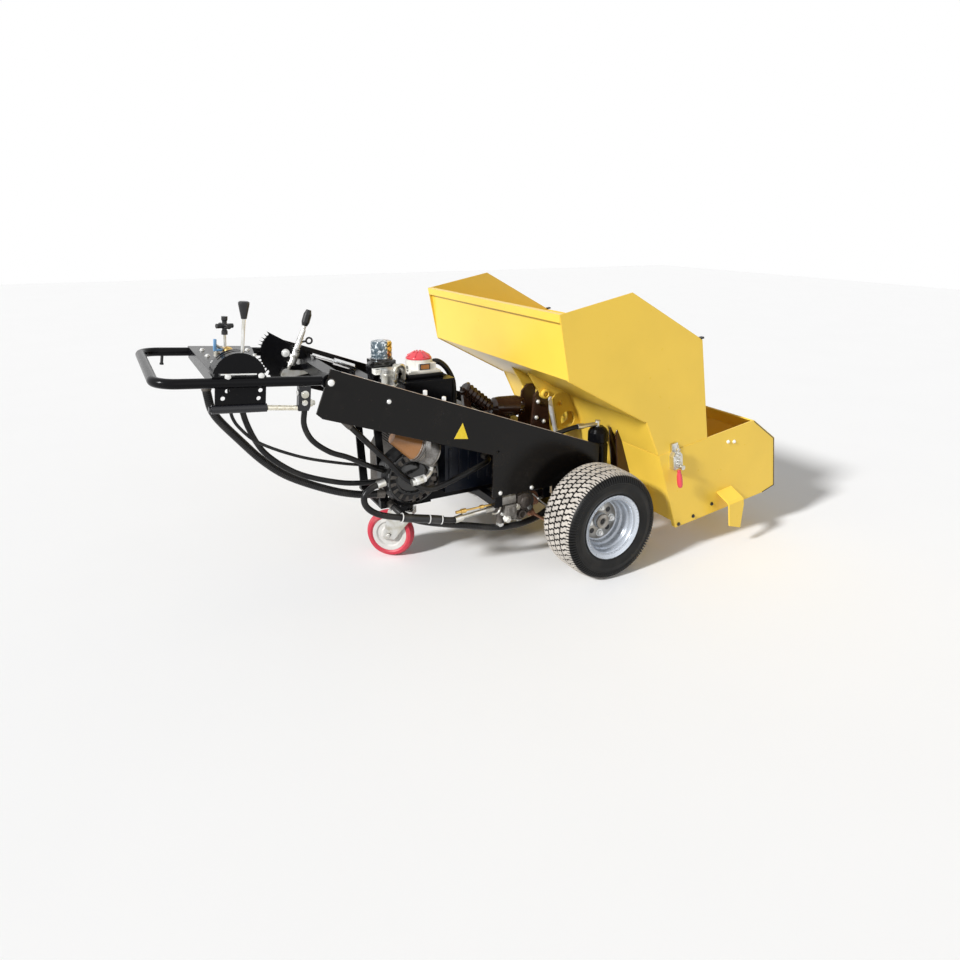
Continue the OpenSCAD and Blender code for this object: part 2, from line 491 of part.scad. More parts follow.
// Bent plates that hang outside the box and guide the edge of the mat.
foot_w = 64;
module side_feet() at(c_yellow) unit() both() intersection() {
    bar(fold([[box_y - 12, 167], [box_y + foot_w - 8, 133], [box_y + foot_w, 124],
    [box_y + foot_w, 0]], -6),
        535, 90);
    slab([[541, 180], [622, 180], [622, 100], [600, 6], [541, 33]], box_y, 200);
}
module clamps() at(c_zinc) unit() both() {
    box([308, box_y, 402], [338, box_y + 8, 432]);
    slab([[300, 335], [345, 335], [345, 385], [334, 402], [310, 402], [300, 385]], box_y, 22);
    cyl_y(9, box_y + 22, box_y + 46, 325, 345);
}
module clamp_grips() at(c_red) unit() both() turned([326.5, box_y + 38, 335.3], [341, box_y + 38, 248],
    [[8, 0], [11, 12], [12, 70], [9, 88]]);
// Gusset arms from the hopper's floor down to the hinge pins, and the arched lugs of the lift rod.
module hinge_arms() at(c_yellow) unit() {
    for (y = [-arm_y, arm_y]) difference() {
        union() {
            slab([hin + [-19, 6], hin + [8, -18], mix(heel, knee, 0.85), mix(heel, knee, 0.35)],
                y - arm_t / 2, arm_t);
            cyl_y(20, y - arm_t / 2, y + arm_t / 2, hin[0], hin[1]);
        }
        cyl_y(pin_r + gap, y - 6, y + 6, hin[0], hin[1]);
    }
    both() difference() {
        slab([[119, 547], [140, 566], mix(heel, knee, 0.9), knee, corner, [200, 392], [133, 410]], 20, 8);
        cyl_y(36, 15, 35, 186, 440);
        cyl_y(12, 15, 35, 152, 520);
    }
}
module wall_brackets() at(c_black) unit() both() for (y = [in_y - 50, in_y - 10])
    slab([mix(knee, corner, 0.65), corner, mix(corner, sill, 0.45), [223, 256], [226, 440]], y, 6);

// Hoses, each swept along round-number points.
module hose_droop_a() at(c_hose) hose([[-1287, -150, 799.4], [-1285, -150, 755], [-1268, -150, 690],
    [-1200, -150, 600], [-1130, -150, 518], [-1050, -152, 452], [-920, -155, 385], [-820, -160, 352],
    [-729.6, -165, 340]], 13);
module hose_droop_b() at(c_hose) hose([[-1193, -195, 826.9], [-1194, -195, 780], [-1194, -200, 700],
    [-1164, -200, 610], [-1120, -200, 545], [-1030, -200, 475], [-900, -195, 422], [-800, -180, 398],
    [-736.5, -170, 390]], 9);
module hose_thin() at(c_hose) hose([[-1234, -224, 830.5], [-1234, -224, 780], [-1232, -224, 706],
    [-1206, -224, 655], [-1150, -224, 602], [-1028, -224, 540], [-896, -215, 495], [-810, -195, 468],
    [-732.2, -157, 437]], 5, 8);
module hose_cross() at(c_hose) hose([[-1024, -270, 706.3], [-1026, -266, 655], [-1000, -258, 600],
    [-944, -250, 552], [-880, -240, 520], [-800, -215, 470], [-733.5, -170, 428]], 9, 8);
module hose_pump() at(c_hose) hose([[-895, -255, 650], [-860, -250, 612], [-800, -246, 545],
    [-738, -240, 478],
    [-676, -230, 408], [-580, -228, 352], [-465, -228, 378], [-390, -225, 400], [-345, -215, 412],
    [-326, -190, 414],
    [-325, -150.6, 414]], 10);
module hose_loop() at(c_hose) hose([[-752, -232, 408], [-800, -234, 398], [-828, -236, 372],
    [-822, -238, 335],
    [-780, -240, 300], [-700, -245, 274], [-590, -250, 248], [-510, -262, 232.6], [-470.4, -262, 236]],
    11);
module hose_top() at(c_hose) hose([[-470, 20, 723.4], [-470, 20, 742], [-446, 8, 760], [-410, 4, 738],
    [-382, 0, 690],
    [-374, 0, 640], [-374, 0, 540], [-374, 0, 478.4]], 11);
module hose_lift() at(c_hose) hose([[lift_x - 74.4, -lift_y, 505], [20, -lift_y, 505],
    [-30, -256, 497], [-80, -254, 484],
    [-140, -250, 448], [-200, -250, 396], [-248, -253, 352], [-262, -255, 334], [-262, -255, 320.4]], 9);
module hose_low() at(c_hose) hose([[-690, -117.4, 277], [-690, -145, 277], [-672, -190, 260],
    [-620, -214, 234],
    [-530, -228, 208], [-420, -244, 184], [-330, -254, 162], [-240, -258, 156], [-150, -262, 170],
    [-90, -268, 200],
    [-45.6, -270, 204]], 12);

side_plate_right();
side_plate_left();
frame_tray();
cross_members();
hinge_ears();
caster_mount();
wheel_motors();
engine();
drive_case();
fan_housing();
muffler();
oil_filter();
oil_tank();
tank_filter();
filter_cap();
sight_window();
clear_cup();
cup_block();
air_cleaner();
pump_block();
pipe_fittings();
toothed_sector();
latch_lever();
latch_grip();
gas_strut();
lift_cylinders();
lift_rod();
handlebar();
console();
control_levers();
lever_knobs();
control_valve();
tilt_strut();
rim_right();
tyre_right();
rim_left();
tyre_left();
caster_fork();
caster_wheel();
caster_tread();
hopper_sides();
hopper_back();
tower_front();
box_sides();
box_back();
box_front();
side_feet();
clamps();
clamp_grips();
hinge_arms();
wall_brackets();
hose_droop_a();
hose_droop_b();
hose_thin();
hose_cross();
hose_pump();
hose_loop();
hose_top();
hose_lift();
hose_low();
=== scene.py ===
"""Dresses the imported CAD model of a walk-behind asphalt paver.

Sizes inside the sub-assemblies are millimetres from the middle of the drive axle on the
ground, as they are in the part's source. Solid turns them into the row's frame in metres.
"""

import json
import logging
import math
from dataclasses import dataclass
from enum import Enum

import bmesh
import bpy
from mathutils import Matrix, Vector

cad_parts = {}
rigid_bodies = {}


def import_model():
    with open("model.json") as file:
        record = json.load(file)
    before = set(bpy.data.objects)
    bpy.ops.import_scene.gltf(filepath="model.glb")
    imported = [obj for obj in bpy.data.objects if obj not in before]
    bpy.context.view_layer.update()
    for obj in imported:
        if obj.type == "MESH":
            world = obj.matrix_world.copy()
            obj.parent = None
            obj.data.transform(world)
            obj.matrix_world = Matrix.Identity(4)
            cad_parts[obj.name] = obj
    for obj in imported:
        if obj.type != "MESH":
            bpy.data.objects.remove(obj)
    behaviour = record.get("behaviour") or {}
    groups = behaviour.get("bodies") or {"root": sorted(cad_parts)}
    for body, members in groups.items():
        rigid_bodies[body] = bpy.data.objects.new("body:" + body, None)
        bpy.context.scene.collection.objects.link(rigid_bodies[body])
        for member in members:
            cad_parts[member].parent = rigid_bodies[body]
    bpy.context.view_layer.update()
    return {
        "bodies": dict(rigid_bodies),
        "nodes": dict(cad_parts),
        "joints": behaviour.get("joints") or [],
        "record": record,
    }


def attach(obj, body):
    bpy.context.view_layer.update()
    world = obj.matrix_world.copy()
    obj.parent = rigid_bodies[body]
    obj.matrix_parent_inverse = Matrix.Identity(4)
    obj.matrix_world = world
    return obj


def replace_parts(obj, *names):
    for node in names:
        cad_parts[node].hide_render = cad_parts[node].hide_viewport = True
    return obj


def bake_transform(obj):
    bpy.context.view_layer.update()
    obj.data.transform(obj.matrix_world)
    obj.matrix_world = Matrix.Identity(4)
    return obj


LOG = logging.getLogger("paver")
AXLE_X = 285.0
PIVOT = (-951.0, 794.0)
HANDLE_SLOPE = math.radians(4.4)
UNIT_PITCH = math.radians(7.7)
WHEEL_R = 204.0
WHEEL_Y = 455.0
BEAM_SLOPE = math.tan(math.radians(20.7))
BEAM_NOSE = (100.0, 439.5)
Point = tuple[float, float, float]
Colour = tuple[float, float, float]


def top_z(x: float) -> float:
    """Returns the height of the side plates' top edge at x."""
    return BEAM_NOSE[1] + (BEAM_NOSE[0] - x) * BEAM_SLOPE


def side_word(side: int) -> str:
    """Returns the word that names a side."""
    return "left" if side > 0 else "right"


class Place(Enum):
    """The frames that sizes are written in."""

    AXLE = "axle"
    UNIT = "unit"
    HANDLE = "handle"

    def matrix(self) -> Matrix:
        """Returns the matrix from this frame's millimetres to the row's metres."""
        row = Matrix.Translation((AXLE_X / 1000, 0, 0)) @ Matrix.Scale(0.001, 4)
        if self is Place.UNIT:
            lift = Matrix.Translation((0, 0, WHEEL_R))
            return row @ lift @ Matrix.Rotation(-UNIT_PITCH, 4, "Y") @ lift.inverted()
        if self is Place.HANDLE:
            pivot = Matrix.Translation((PIVOT[0], 0, PIVOT[1]))
            return row @ pivot @ Matrix.Rotation(HANDLE_SLOPE, 4, "Y")
        return row


# Shader maths


class Value:
    """Wraps a socket, so that shader maths is written as Python expressions."""

    def __init__(self, net: "Net", socket: bpy.types.NodeSocket) -> None:
        """Keeps the net and the socket.

        Args:
            net: The nodes that the socket belongs to.
            socket: An output socket.
        """
        self.net = net
        self.socket = socket

    def maths(self, operation: str, other: "Value | float", flip: bool = False) -> "Value":
        """Adds one Math node.

        Args:
            operation: The Math node's operation.
            other: The second operand.
            flip: Whether the operands change places.

        Returns:
            The node's value.
        """
        pair = (other, self) if flip else (self, other)
        return self.net.node("ShaderNodeMath", {"operation": operation}, {0: pair[0], 1: pair[1]})

    def __add__(self, other: "Value | float") -> "Value":
        """Returns the sum."""
        return self.maths("ADD", other)

    __radd__ = __add__

    def __mul__(self, other: "Value | float") -> "Value":
        """Returns the product."""
        return self.maths("MULTIPLY", other)

    __rmul__ = __mul__

    def __sub__(self, other: "Value | float") -> "Value":
        """Returns the difference."""
        return self.maths("SUBTRACT", other)

    def __rsub__(self, other: "Value | float") -> "Value":
        """Returns the difference of a number and this value."""
        return self.maths("SUBTRACT", other, flip=True)

    def __pow__(self, other: "Value | float") -> "Value":
        """Returns the power."""
        return self.maths("POWER", other)

    def over(self, low: float, high: float) -> "Value":
        """Returns 0 below low and 1 above high, with a ramp between them."""
        return self.net.node(
            "ShaderNodeMapRange",
            {"clamp": True, "interpolation_type": "SMOOTHSTEP"},
            {0: self, 1: low, 2: high, 3: 0.0, 4: 1.0},
        )


class Net:
    """The nodes of one material or world. Every node comes from its one method."""

    def __init__(self, name: str, world: bool = False) -> None:
        """Starts an empty material or world.

        Args:
            name: Its name.
            world: Whether it is a world.
        """
        self.owner = (bpy.data.worlds if world else bpy.data.materials).new(name)
        self.owner.use_nodes = True
        self.tree = self.owner.node_tree
        self.tree.nodes.clear()
        self.output = "ShaderNodeOutputWorld" if world else "ShaderNodeOutputMaterial"
        self.coords = self.node("ShaderNodeTexCoord", out="Object")

    def node(
        self,
        kind: str,
        settings: dict[str, object] | None = None,
        inputs: dict[int | str, object] | None = None,
        out: int | str = 0,
    ) -> Value:
        """Adds a node.

        Args:
            kind: The node's type.
            settings: Its settings, which are set first.
            inputs: Values or links, by socket index or name.
            out: The output that is wanted.

        Returns:
            The wanted output.
        """
        made = self.tree.nodes.new(kind)
        for key, value in (settings or {}).items():
            setattr(made, key, value)
        for key, value in (inputs or {}).items():
            if isinstance(value, Value):
                self.tree.links.new(value.socket, made.inputs[key])
            elif isinstance(value, tuple) and len(value) == 3 and made.inputs[key].type == "RGBA":
                made.inputs[key].default_value = (*value, 1.0)
            else:
                made.inputs[key].default_value = value
        return Value(self, made.outputs[out])

    def noise(self, scale: float, detail: float = 3.0, stretch: Point | None = None) -> Value:
        """Adds noise on the object's own coordinates.

        Args:
            scale: Cells per metre.
            detail: Levels of detail.
            stretch: Scale along each axis, for streaks.

        Returns:
            The noise, about 0.3 to 0.7.
        """
        where = self.coords
        if stretch:
            where = self.node("ShaderNodeMapping", {}, {0: where, 3: stretch})
        return self.node("ShaderNodeTexNoise", {}, {"Vector": where, "Scale": scale, "Detail": detail})

    def cells(self, scale: float) -> Value:
        """Returns the distance to scattered points, for chips and splashes."""
        return self.node("ShaderNodeTexVoronoi", {}, {"Vector": self.coords, "Scale": scale})

    def blend(self, factor: Value | float, one: object, two: object) -> Value:
        """Returns the colour mix of one and two."""
        return self.node(
            "ShaderNodeMix",
            {"data_type": "RGBA", "clamp_factor": True},
            {0: factor, 6: one, 7: two},
            out=2,
        )

    def axis(self, index: int) -> Value:
        """Returns one of the object's coordinates."""
        return self.node("ShaderNodeSeparateXYZ", {}, {0: self.coords}, out=index)

    def rounded(self, radius: float) -> Value:
        """Returns the normal with the edges rounded by radius."""
        return self.node("ShaderNodeBevel", {"samples": 4}, {"Radius": radius})

    def edges(self, soft: Value) -> Value:
        """Returns 1 along edges and 0 on flat faces.

        Args:
            soft: The rounded normal.

        Returns:
            The edges, as a mask.
        """
        flat = self.node("ShaderNodeNewGeometry", out="Normal")
        dot = self.node(
            "ShaderNodeVectorMath", {"operation": "DOT_PRODUCT"}, {0: soft, 1: flat}, out="Value"
        )
        return (1.0 - dot).over(0.01, 0.16)

    def bump(self, height: Value, depth: float, normal: Value | None = None) -> Value:
        """Returns a bumped normal.

        Args:
            height: What raises the surface.
            depth: Its depth in metres.
            normal: The normal that it starts from.

        Returns:
            The new normal.
        """
        inputs: dict[int | str, object] = {"Height": height, "Distance": depth, "Strength": 1.0}
        if normal:
            inputs["Normal"] = normal
        return self.node("ShaderNodeBump", {}, inputs)

    def surface(self, **sockets: object) -> bpy.types.Material:
        """Ends the material in one Principled shader.

        Args:
            sockets: Its sockets, with underscores for spaces.

        Returns:
            The material.
        """
        inputs = {key.replace("_", " "): value for key, value in sockets.items()}
        self.close(self.node("ShaderNodeBsdfPrincipled", {}, inputs))
        return self.owner

    def close(self, shader: Value) -> None:
        """Links a shader to the output node."""
        end = self.tree.nodes.new(self.output)
        self.tree.links.new(shader.socket, end.inputs["Surface"])


# Finishes


@dataclass(frozen=True)
class Paint:
    """Sprayed paint on sheet metal, with dust, stains and chipped edges."""

    name: str
    colour: Colour
    chip: Colour
    dust: Colour = (0.42, 0.38, 0.32)
    rough: float = 0.28
    grime: float = 0.35
    chips: float = 0.5
    streaks: float = 0.0
    coat: float = 0.25
    shine: float = 0.35
    peel: float = 0.0006
    metallic: float = 0.0

    def build(self) -> bpy.types.Material:
        """Returns the material."""
        net = Net(self.name)
        soft = net.rounded(0.0015)
        edge = net.edges(soft)
        patch = net.noise(3.5, 4.0)
        fine = net.noise(60.0, 5.0)
        shade = tuple(c * 0.93 for c in self.colour)
        colour = net.blend(patch.over(0.35, 0.75), self.colour, shade)
        low = 1.0 - net.axis(2).over(0.05, 0.55)
        stain = (net.noise(9.0, 6.0) * 0.7 + fine * 0.3).over(0.5, 0.68)
        dirt = stain * (low * 0.6 + 0.4) * self.grime
        if self.streaks:
            run = net.noise(14.0, 3.0, (6.0, 6.0, 0.35)).over(0.52, 0.7)
            dirt = (dirt + run * self.streaks).over(0.0, 1.0)
        colour = net.blend(dirt, colour, self.dust)
        speck = 1.0 - net.cells(38.0).over(0.05, 0.09)
        worn = edge * fine.over(0.42, 0.6) * self.chips + speck * self.chips * 0.25
        colour = net.blend(worn, colour, self.chip)
        peel = net.noise(420.0, 2.0) * 0.25 + dirt * 0.6 - worn * 0.5 + patch * 0.8
        return net.surface(
            Base_Color=colour,
            Roughness=dirt * 0.45 + fine * 0.12 + self.rough - 0.06,
            Normal=net.bump(peel, self.peel, soft),
            Metallic=self.metallic,
            Specular_IOR_Level=self.shine,
            Coat_Weight=self.coat,
            Coat_Roughness=0.12,
        )


@dataclass(frozen=True)
class Metal:
    """Bare or plated metal, mottled and finely scratched."""

    name: str
    colour: Colour
    tint: Colour
    rough: float = 0.3
    metallic: float = 1.0
    grime: float = 0.3

    def build(self) -> bpy.types.Material:
        """Returns the material."""
        net = Net(self.name)
        soft = net.rounded(0.001)
        mottle = net.noise(28.0, 5.0)
        scratch = net.noise(160.0)
        colour = net.blend(mottle.over(0.38, 0.68), self.colour, self.tint)
        dirt = net.noise(14.0, 6.0).over(0.5, 0.72) * self.grime
        colour = net.blend(dirt, colour, (0.13, 0.10, 0.08))
        return net.surface(
            Base_Color=colour,
            Metallic=(1.0 - dirt * 0.8) * self.metallic,
            Roughness=scratch * 0.25 + dirt * 0.3 + self.rough - 0.1,
            Normal=net.bump(scratch * 0.4 + mottle * 0.6, 0.0003, soft),
        )


@dataclass(frozen=True)
class Cast:
    """Rough cast metal, oily and speckled."""

    name: str
    colour: Colour
    oil: Colour = (0.035, 0.025, 0.02)
    metallic: float = 0.6
    rough: float = 0.5

    def build(self) -> bpy.types.Material:
        """Returns the material."""
        net = Net(self.name)
        soft = net.rounded(0.002)
        grain = net.noise(240.0, 4.0)
        wet = net.noise(7.0, 5.0).over(0.44, 0.6)
        speck = 1.0 - net.cells(260.0).over(0.1, 0.3)
        colour = net.blend(grain.over(0.35, 0.7), self.colour, tuple(c * 0.6 for c in self.colour))
        colour = net.blend(wet * 0.75, colour, self.oil)
        colour = net.blend(speck * 0.25, colour, (0.45, 0.42, 0.38))
        return net.surface(
            Base_Color=colour,
            Metallic=self.metallic,
            Roughness=self.rough + grain * 0.15 - wet * 0.22,
            Normal=net.bump(grain + speck * 0.3, 0.0009, soft),
        )


@dataclass(frozen=True)
class Rubber:
    """Tyre or hose rubber with dust in its pores."""

    name: str
    colour: Colour = (0.022, 0.022, 0.023)
    dust: Colour = (0.30, 0.27, 0.22)
    dusty: float = 0.2
    rough: float = 0.55
    rings: float = 0.0

    def build(self) -> bpy.types.Material:
        """Returns the material."""
        net = Net(self.name)
        grain = net.noise(300.0, 3.0)
        dirt = (net.noise(18.0, 6.0) * 0.75 + grain * 0.25).over(0.44, 0.66) * self.dusty
        colour = net.blend(dirt, self.colour, self.dust)
        height = grain * 0.5 + dirt
        if self.rings:
            along = net.node("ShaderNodeUVMap", {"uv_map": "along"})
            turn = net.node("ShaderNodeSeparateXYZ", {}, {0: along}, out=1) * self.rings
            wave = net.node("ShaderNodeMath", {"operation": "SINE"}, {0: turn * 6.2832})
            height = height + wave.over(-0.4, 0.9) * 1.2
            colour = net.blend(wave.over(0.3, 1.0) * 0.12, colour, (0.2, 0.19, 0.18))
        return net.surface(
            Base_Color=colour,
            Roughness=self.rough + dirt * 0.3,
            Normal=net.bump(height, 0.0004),
            Specular_IOR_Level=0.25,
        )


@dataclass(frozen=True)
class Tread:
    """Tread rubber with dusty block tops over clean dark gaps."""

    name: str
    rubber: Colour = (0.006, 0.006, 0.006)
    dust: Colour = (0.56, 0.52, 0.47)
    flat: float = 0.03
    fall: float = 3.2
    gap: float = 0.0032
    crest: float = 0.0012

    def build(self) -> bpy.types.Material:
        """Returns the material."""
        net = Net(self.name)
        radius = WHEEL_R / 1000
        x, z = net.axis(0) - AXLE_X / 1000, net.axis(2) - radius
        middle = (net.axis(1).maths("ABSOLUTE", 0.0) - WHEEL_Y / 1000).maths("ABSOLUTE", 0.0)
        across = (middle - self.flat).maths("MAXIMUM", 0.0)
        height = (x * x + z * z) ** 0.5 + across * across * self.fall
        top = height.over(radius - self.gap, radius - self.crest)
        grain = net.noise(320.0, 4.0)
        patchy = net.noise(26.0, 4.0).over(0.35, 0.6) * 0.22 + 0.78
        cover = top * patchy * (grain.over(0.3, 0.6) * 0.3 + 0.7)
        colour = net.blend(cover, self.rubber, self.dust)
        return net.surface(
            Base_Color=colour,
            Roughness=cover * 0.4 + 0.42,
            Normal=net.bump(grain, 0.0006),
            Specular_IOR_Level=0.25,
        )


@dataclass(frozen=True)
class Jewel:
    """Faceted clear cover over plated parts, grey-blue on one side and amber on the other, with painted
    highlights: noise flecks of near-white and of bright amber stand in for glints.
    """

    name: str
    split: float

    def build(self) -> bpy.types.Material:
        """Returns the material."""
        net = Net(self.name)
        painted_glints = net.noise(95.0, 2.0)
        side = net.axis(0).over(self.split - 0.001, self.split + 0.001)
        # Painted highlights: where the glint noise is high, near-white flecks on the grey-blue side and
        # bright amber flecks on the other stand in for glints.
        cool = net.blend(painted_glints.over(0.46, 0.64), (0.09, 0.13, 0.16), (0.74, 0.80, 0.84))
        warm = net.blend(painted_glints.over(0.46, 0.58), (0.10, 0.04, 0.01), (0.90, 0.62, 0.20))
        return net.surface(
            Base_Color=net.blend(side, cool, warm),
            Metallic=0.45,
            Roughness=painted_glints * 0.2 + 0.05,
            Normal=net.bump(net.cells(90.0), 0.002),
            Coat_Weight=0.5,
        )


@dataclass(frozen=True)
class Plastic:
    """Moulded plastic, fine-grained or glossy."""

    name: str
    colour: Colour
    rough: float = 0.4
    grain: float = 0.5
    dusty: float = 0.15
    coat: float = 0.0

    def build(self) -> bpy.types.Material:
        """Returns the material."""
        net = Net(self.name)
        soft = net.rounded(0.0015)
        grain = net.noise(520.0, 2.0)
        dirt = net.noise(16.0, 6.0).over(0.5, 0.72) * self.dusty
        shade = tuple(c * 0.82 for c in self.colour)
        colour = net.blend(net.noise(6.0).over(0.4, 0.7), self.colour, shade)
        colour = net.blend(dirt, colour, (0.33, 0.30, 0.26))
        return net.surface(
            Base_Color=colour,
            Roughness=self.rough + dirt * 0.4 + grain * 0.08,
            Normal=net.bump(grain, 0.0005 * self.grain, soft),
            Coat_Weight=self.coat,
        )


@dataclass(frozen=True)
class Clear:
    """A see-through moulded window."""

    name: str
    colour: Colour
    rough: float = 0.06
    through: float = 0.85

    def build(self) -> bpy.types.Material:
        """Returns the material."""
        net = Net(self.name)
        smear = net.noise(22.0, 5.0).over(0.45, 0.7)
        colour = net.blend(smear * 0.3, self.colour, (0.6, 0.5, 0.36))
        return net.surface(
            Base_Color=colour,
            Roughness=smear * 0.15 + self.rough,
            Normal=net.bump(net.noise(60.0), 0.0006),
            Transmission_Weight=self.through,
            IOR=1.46,
        )


@dataclass(frozen=True)
class Strut:
    """The tilt strut's finish: a bright scratched rod between its black tube and block."""

    name: str
    rod: tuple[float, float] = (-0.852, -0.764)
    soft: float = 0.001
    paint: Colour = (0.006, 0.006, 0.009)
    steel: Colour = (0.82, 0.78, 0.66)
    scuff: Colour = (0.60, 0.55, 0.42)

    def build(self) -> bpy.types.Material:
        """Returns the material."""
        net = Net(self.name)
        along = net.axis(0)
        start, end = self.rod
        past_start = along.over(start - self.soft, start + self.soft)
        bare = past_start * (1.0 - along.over(end - self.soft, end + self.soft))
        scratch = net.noise(160.0)
        colour = net.blend(scratch.over(0.4, 0.7), self.steel, self.scuff)
        return net.surface(
            Base_Color=net.blend(bare, self.paint, colour),
            Metallic=bare,
            Roughness=scratch * 0.2 + 0.18,
            Normal=net.bump(scratch, 0.0002, net.rounded(0.001)),
        )


class Finishes:
    """All finishes of the machine, built once and looked up by name."""

    def __init__(self) -> None:
        """Builds every material."""
        kinds = [
            Paint(
                "yellow_paint",
                (0.89, 0.60, 0.075),
                (0.25, 0.13, 0.03),
                (0.52, 0.32, 0.08),
                grime=0.12,
                streaks=0.03,
                rough=0.3,
                chips=0.2,
                coat=0.05,
                peel=0.0003,
            ),
            Paint(
                "black_paint",
                (0.004, 0.004, 0.005),
                (0.10, 0.08, 0.06),
                (0.06, 0.05, 0.04),
                grime=0.08,
                rough=0.2,
                chips=0.35,
                coat=0.0,
                shine=0.12,
            ),
            Paint(
                "plate_paint",
                (0.0052, 0.0046, 0.0042),
                (0.16, 0.11, 0.07),
                (0.06, 0.048, 0.036),
                grime=0.14,
                rough=0.18,
                chips=0.5,
                coat=0.0,
                shine=0.22,
            ),
            Paint(
                "brown_paint",
                (0.30, 0.135, 0.045),
                (0.12, 0.07, 0.04),
                (0.10, 0.05, 0.02),
                grime=0.4,
                rough=0.25,
            ),
            # Dark brown of the air cleaner and hinge ears; on the yellow wall brackets the same dark brown
            # is painted shade.
            Paint(
                "dark_brown_and_painted_shade",
                (0.045, 0.02, 0.012),
                (0.16, 0.09, 0.05),
                (0.16, 0.10, 0.06),
                grime=0.2,
                rough=0.14,
            ),
            Paint(
                "engine_blue",
                (0.005, 0.008, 0.017),
                (0.2, 0.18, 0.16),
                (0.02, 0.018, 0.016),
                grime=0.7,
                rough=0.3,
                coat=0.05,
                shine=0.25,
            ),
            # Silver paint with a blue tint; the tint is a painted reflection of blue sky.
            Paint(
                "rim_silver",
                (0.54, 0.58, 0.64),
                (0.3, 0.28, 0.25),
                (0.26, 0.24, 0.21),
                grime=0.10,
                rough=0.28,
                chips=0.0,
                metallic=0.45,
                peel=0.0001,
            ),
            Paint("valve_blue", (0.16, 0.36, 0.62), (0.4, 0.4, 0.4), grime=0.1),
            Paint("sign_yellow", (0.90, 0.66, 0.02), (0.2, 0.2, 0.2), grime=0.1, chips=0.1),
            Metal("zinc", (0.72, 0.72, 0.70), (0.55, 0.53, 0.45), rough=0.32),
            Metal("bright_steel", (0.80, 0.80, 0.80), (0.66, 0.66, 0.66), rough=0.18, grime=0.1),
            Metal("brass", (0.78, 0.52, 0.16), (0.50, 0.32, 0.10), rough=0.28),
            Cast("cast", (0.16, 0.145, 0.13)),
            Metal("galvanised", (0.42, 0.40, 0.37), (0.26, 0.24, 0.21), rough=0.38, grime=0.35),
            Metal(
                "white_zinc", (0.92, 0.92, 0.90), (0.8, 0.8, 0.78), rough=0.3, metallic=0.45, grime=0.08
            ),
            Cast("cast_aluminium", (0.50, 0.49, 0.47), metallic=0.45, rough=0.42),
            Rubber("tyre", (0.004, 0.004, 0.004), dusty=0.025, rough=0.38),
            Tread("tread"),
            Rubber("hose", (0.007, 0.007, 0.008), dusty=0.06, rough=0.32),
            Rubber("hose_ribbed", (0.007, 0.007, 0.008), dusty=0.05, rough=0.3, rings=160.0),
            Plastic("black_plastic", (0.007, 0.007, 0.008), rough=0.3, dusty=0.08),
            Plastic("gloss_black", (0.006, 0.006, 0.006), rough=0.12, grain=0.1, coat=0.4, dusty=0.03),
            Jewel("cup_glass", -0.352),
            # Bright bronze for the strips on the plates' top edges: a painted highlight where the edges
            # catch the light.
            Metal(
                "painted_edge_highlight", (0.55, 0.40, 0.28), (0.75, 0.72, 0.68), rough=0.3, metallic=0.45, grime=0.3
            ),
            Cast("pump_grey", (0.52, 0.50, 0.46), (0.10, 0.09, 0.08), metallic=0.35, rough=0.42),
            Cast("rusty", (0.42, 0.19, 0.11), (0.16, 0.06, 0.03), metallic=0.2, rough=0.5),
            Plastic("tie_white", (0.85, 0.85, 0.83), rough=0.4),
            Plastic("white_plastic", (0.78, 0.77, 0.72), rough=0.3, coat=0.3),
            Plastic("red_plastic", (0.70, 0.05, 0.07), rough=0.22, coat=0.4),
            Plastic("red_polyurethane", (0.54, 0.03, 0.055), rough=0.42, dusty=0.3),
            Plastic("grey_nylon", (0.62, 0.61, 0.58), rough=0.45, dusty=0.35),
            Clear("amber", (0.80, 0.32, 0.03), through=0.5),
            Strut("strut_steel"),
        ]
        self.made = {kind.name: kind.build() for kind in kinds}

    def __getitem__(self, name: str) -> bpy.types.Material:
        """Returns a material by name."""
        return self.made[name]


# Mesh tools


def bridge(bm: bmesh.types.BMesh, rings: list[list[bmesh.types.BMVert]], closed: bool = False) -> None:
    """Joins rings of vertices with walls of faces, and caps the ends of an open run.

    Args:
        bm: The mesh that they are in.
        rings: The rings, each with the same number of vertices.
        closed: Whether the last ring joins the first.
    """
    for one, two in zip(rings, rings[1:] + rings[: int(closed)]):
        for i in range(len(one)):
            j = (i + 1) % len(one)
            bm.faces.new((one[i], one[j], two[j], two[i]))
    if not closed:
        bm.faces.new(list(reversed(rings[0])))
        bm.faces.new(rings[-1])


def stand(name: str, bm: bmesh.types.BMesh) -> bpy.types.Object:
    """Turns faces into an object at the origin and frees them.

    Args:
        name: The piece's name.
        bm: Its faces, in metres.

    Returns:
        The object.
    """
    mesh = bpy.data.meshes.new(name)
    bm.to_mesh(mesh)
    bm.free()
    piece = bpy.data.objects.new(name, mesh)
    bpy.context.scene.collection.objects.link(piece)
    return piece


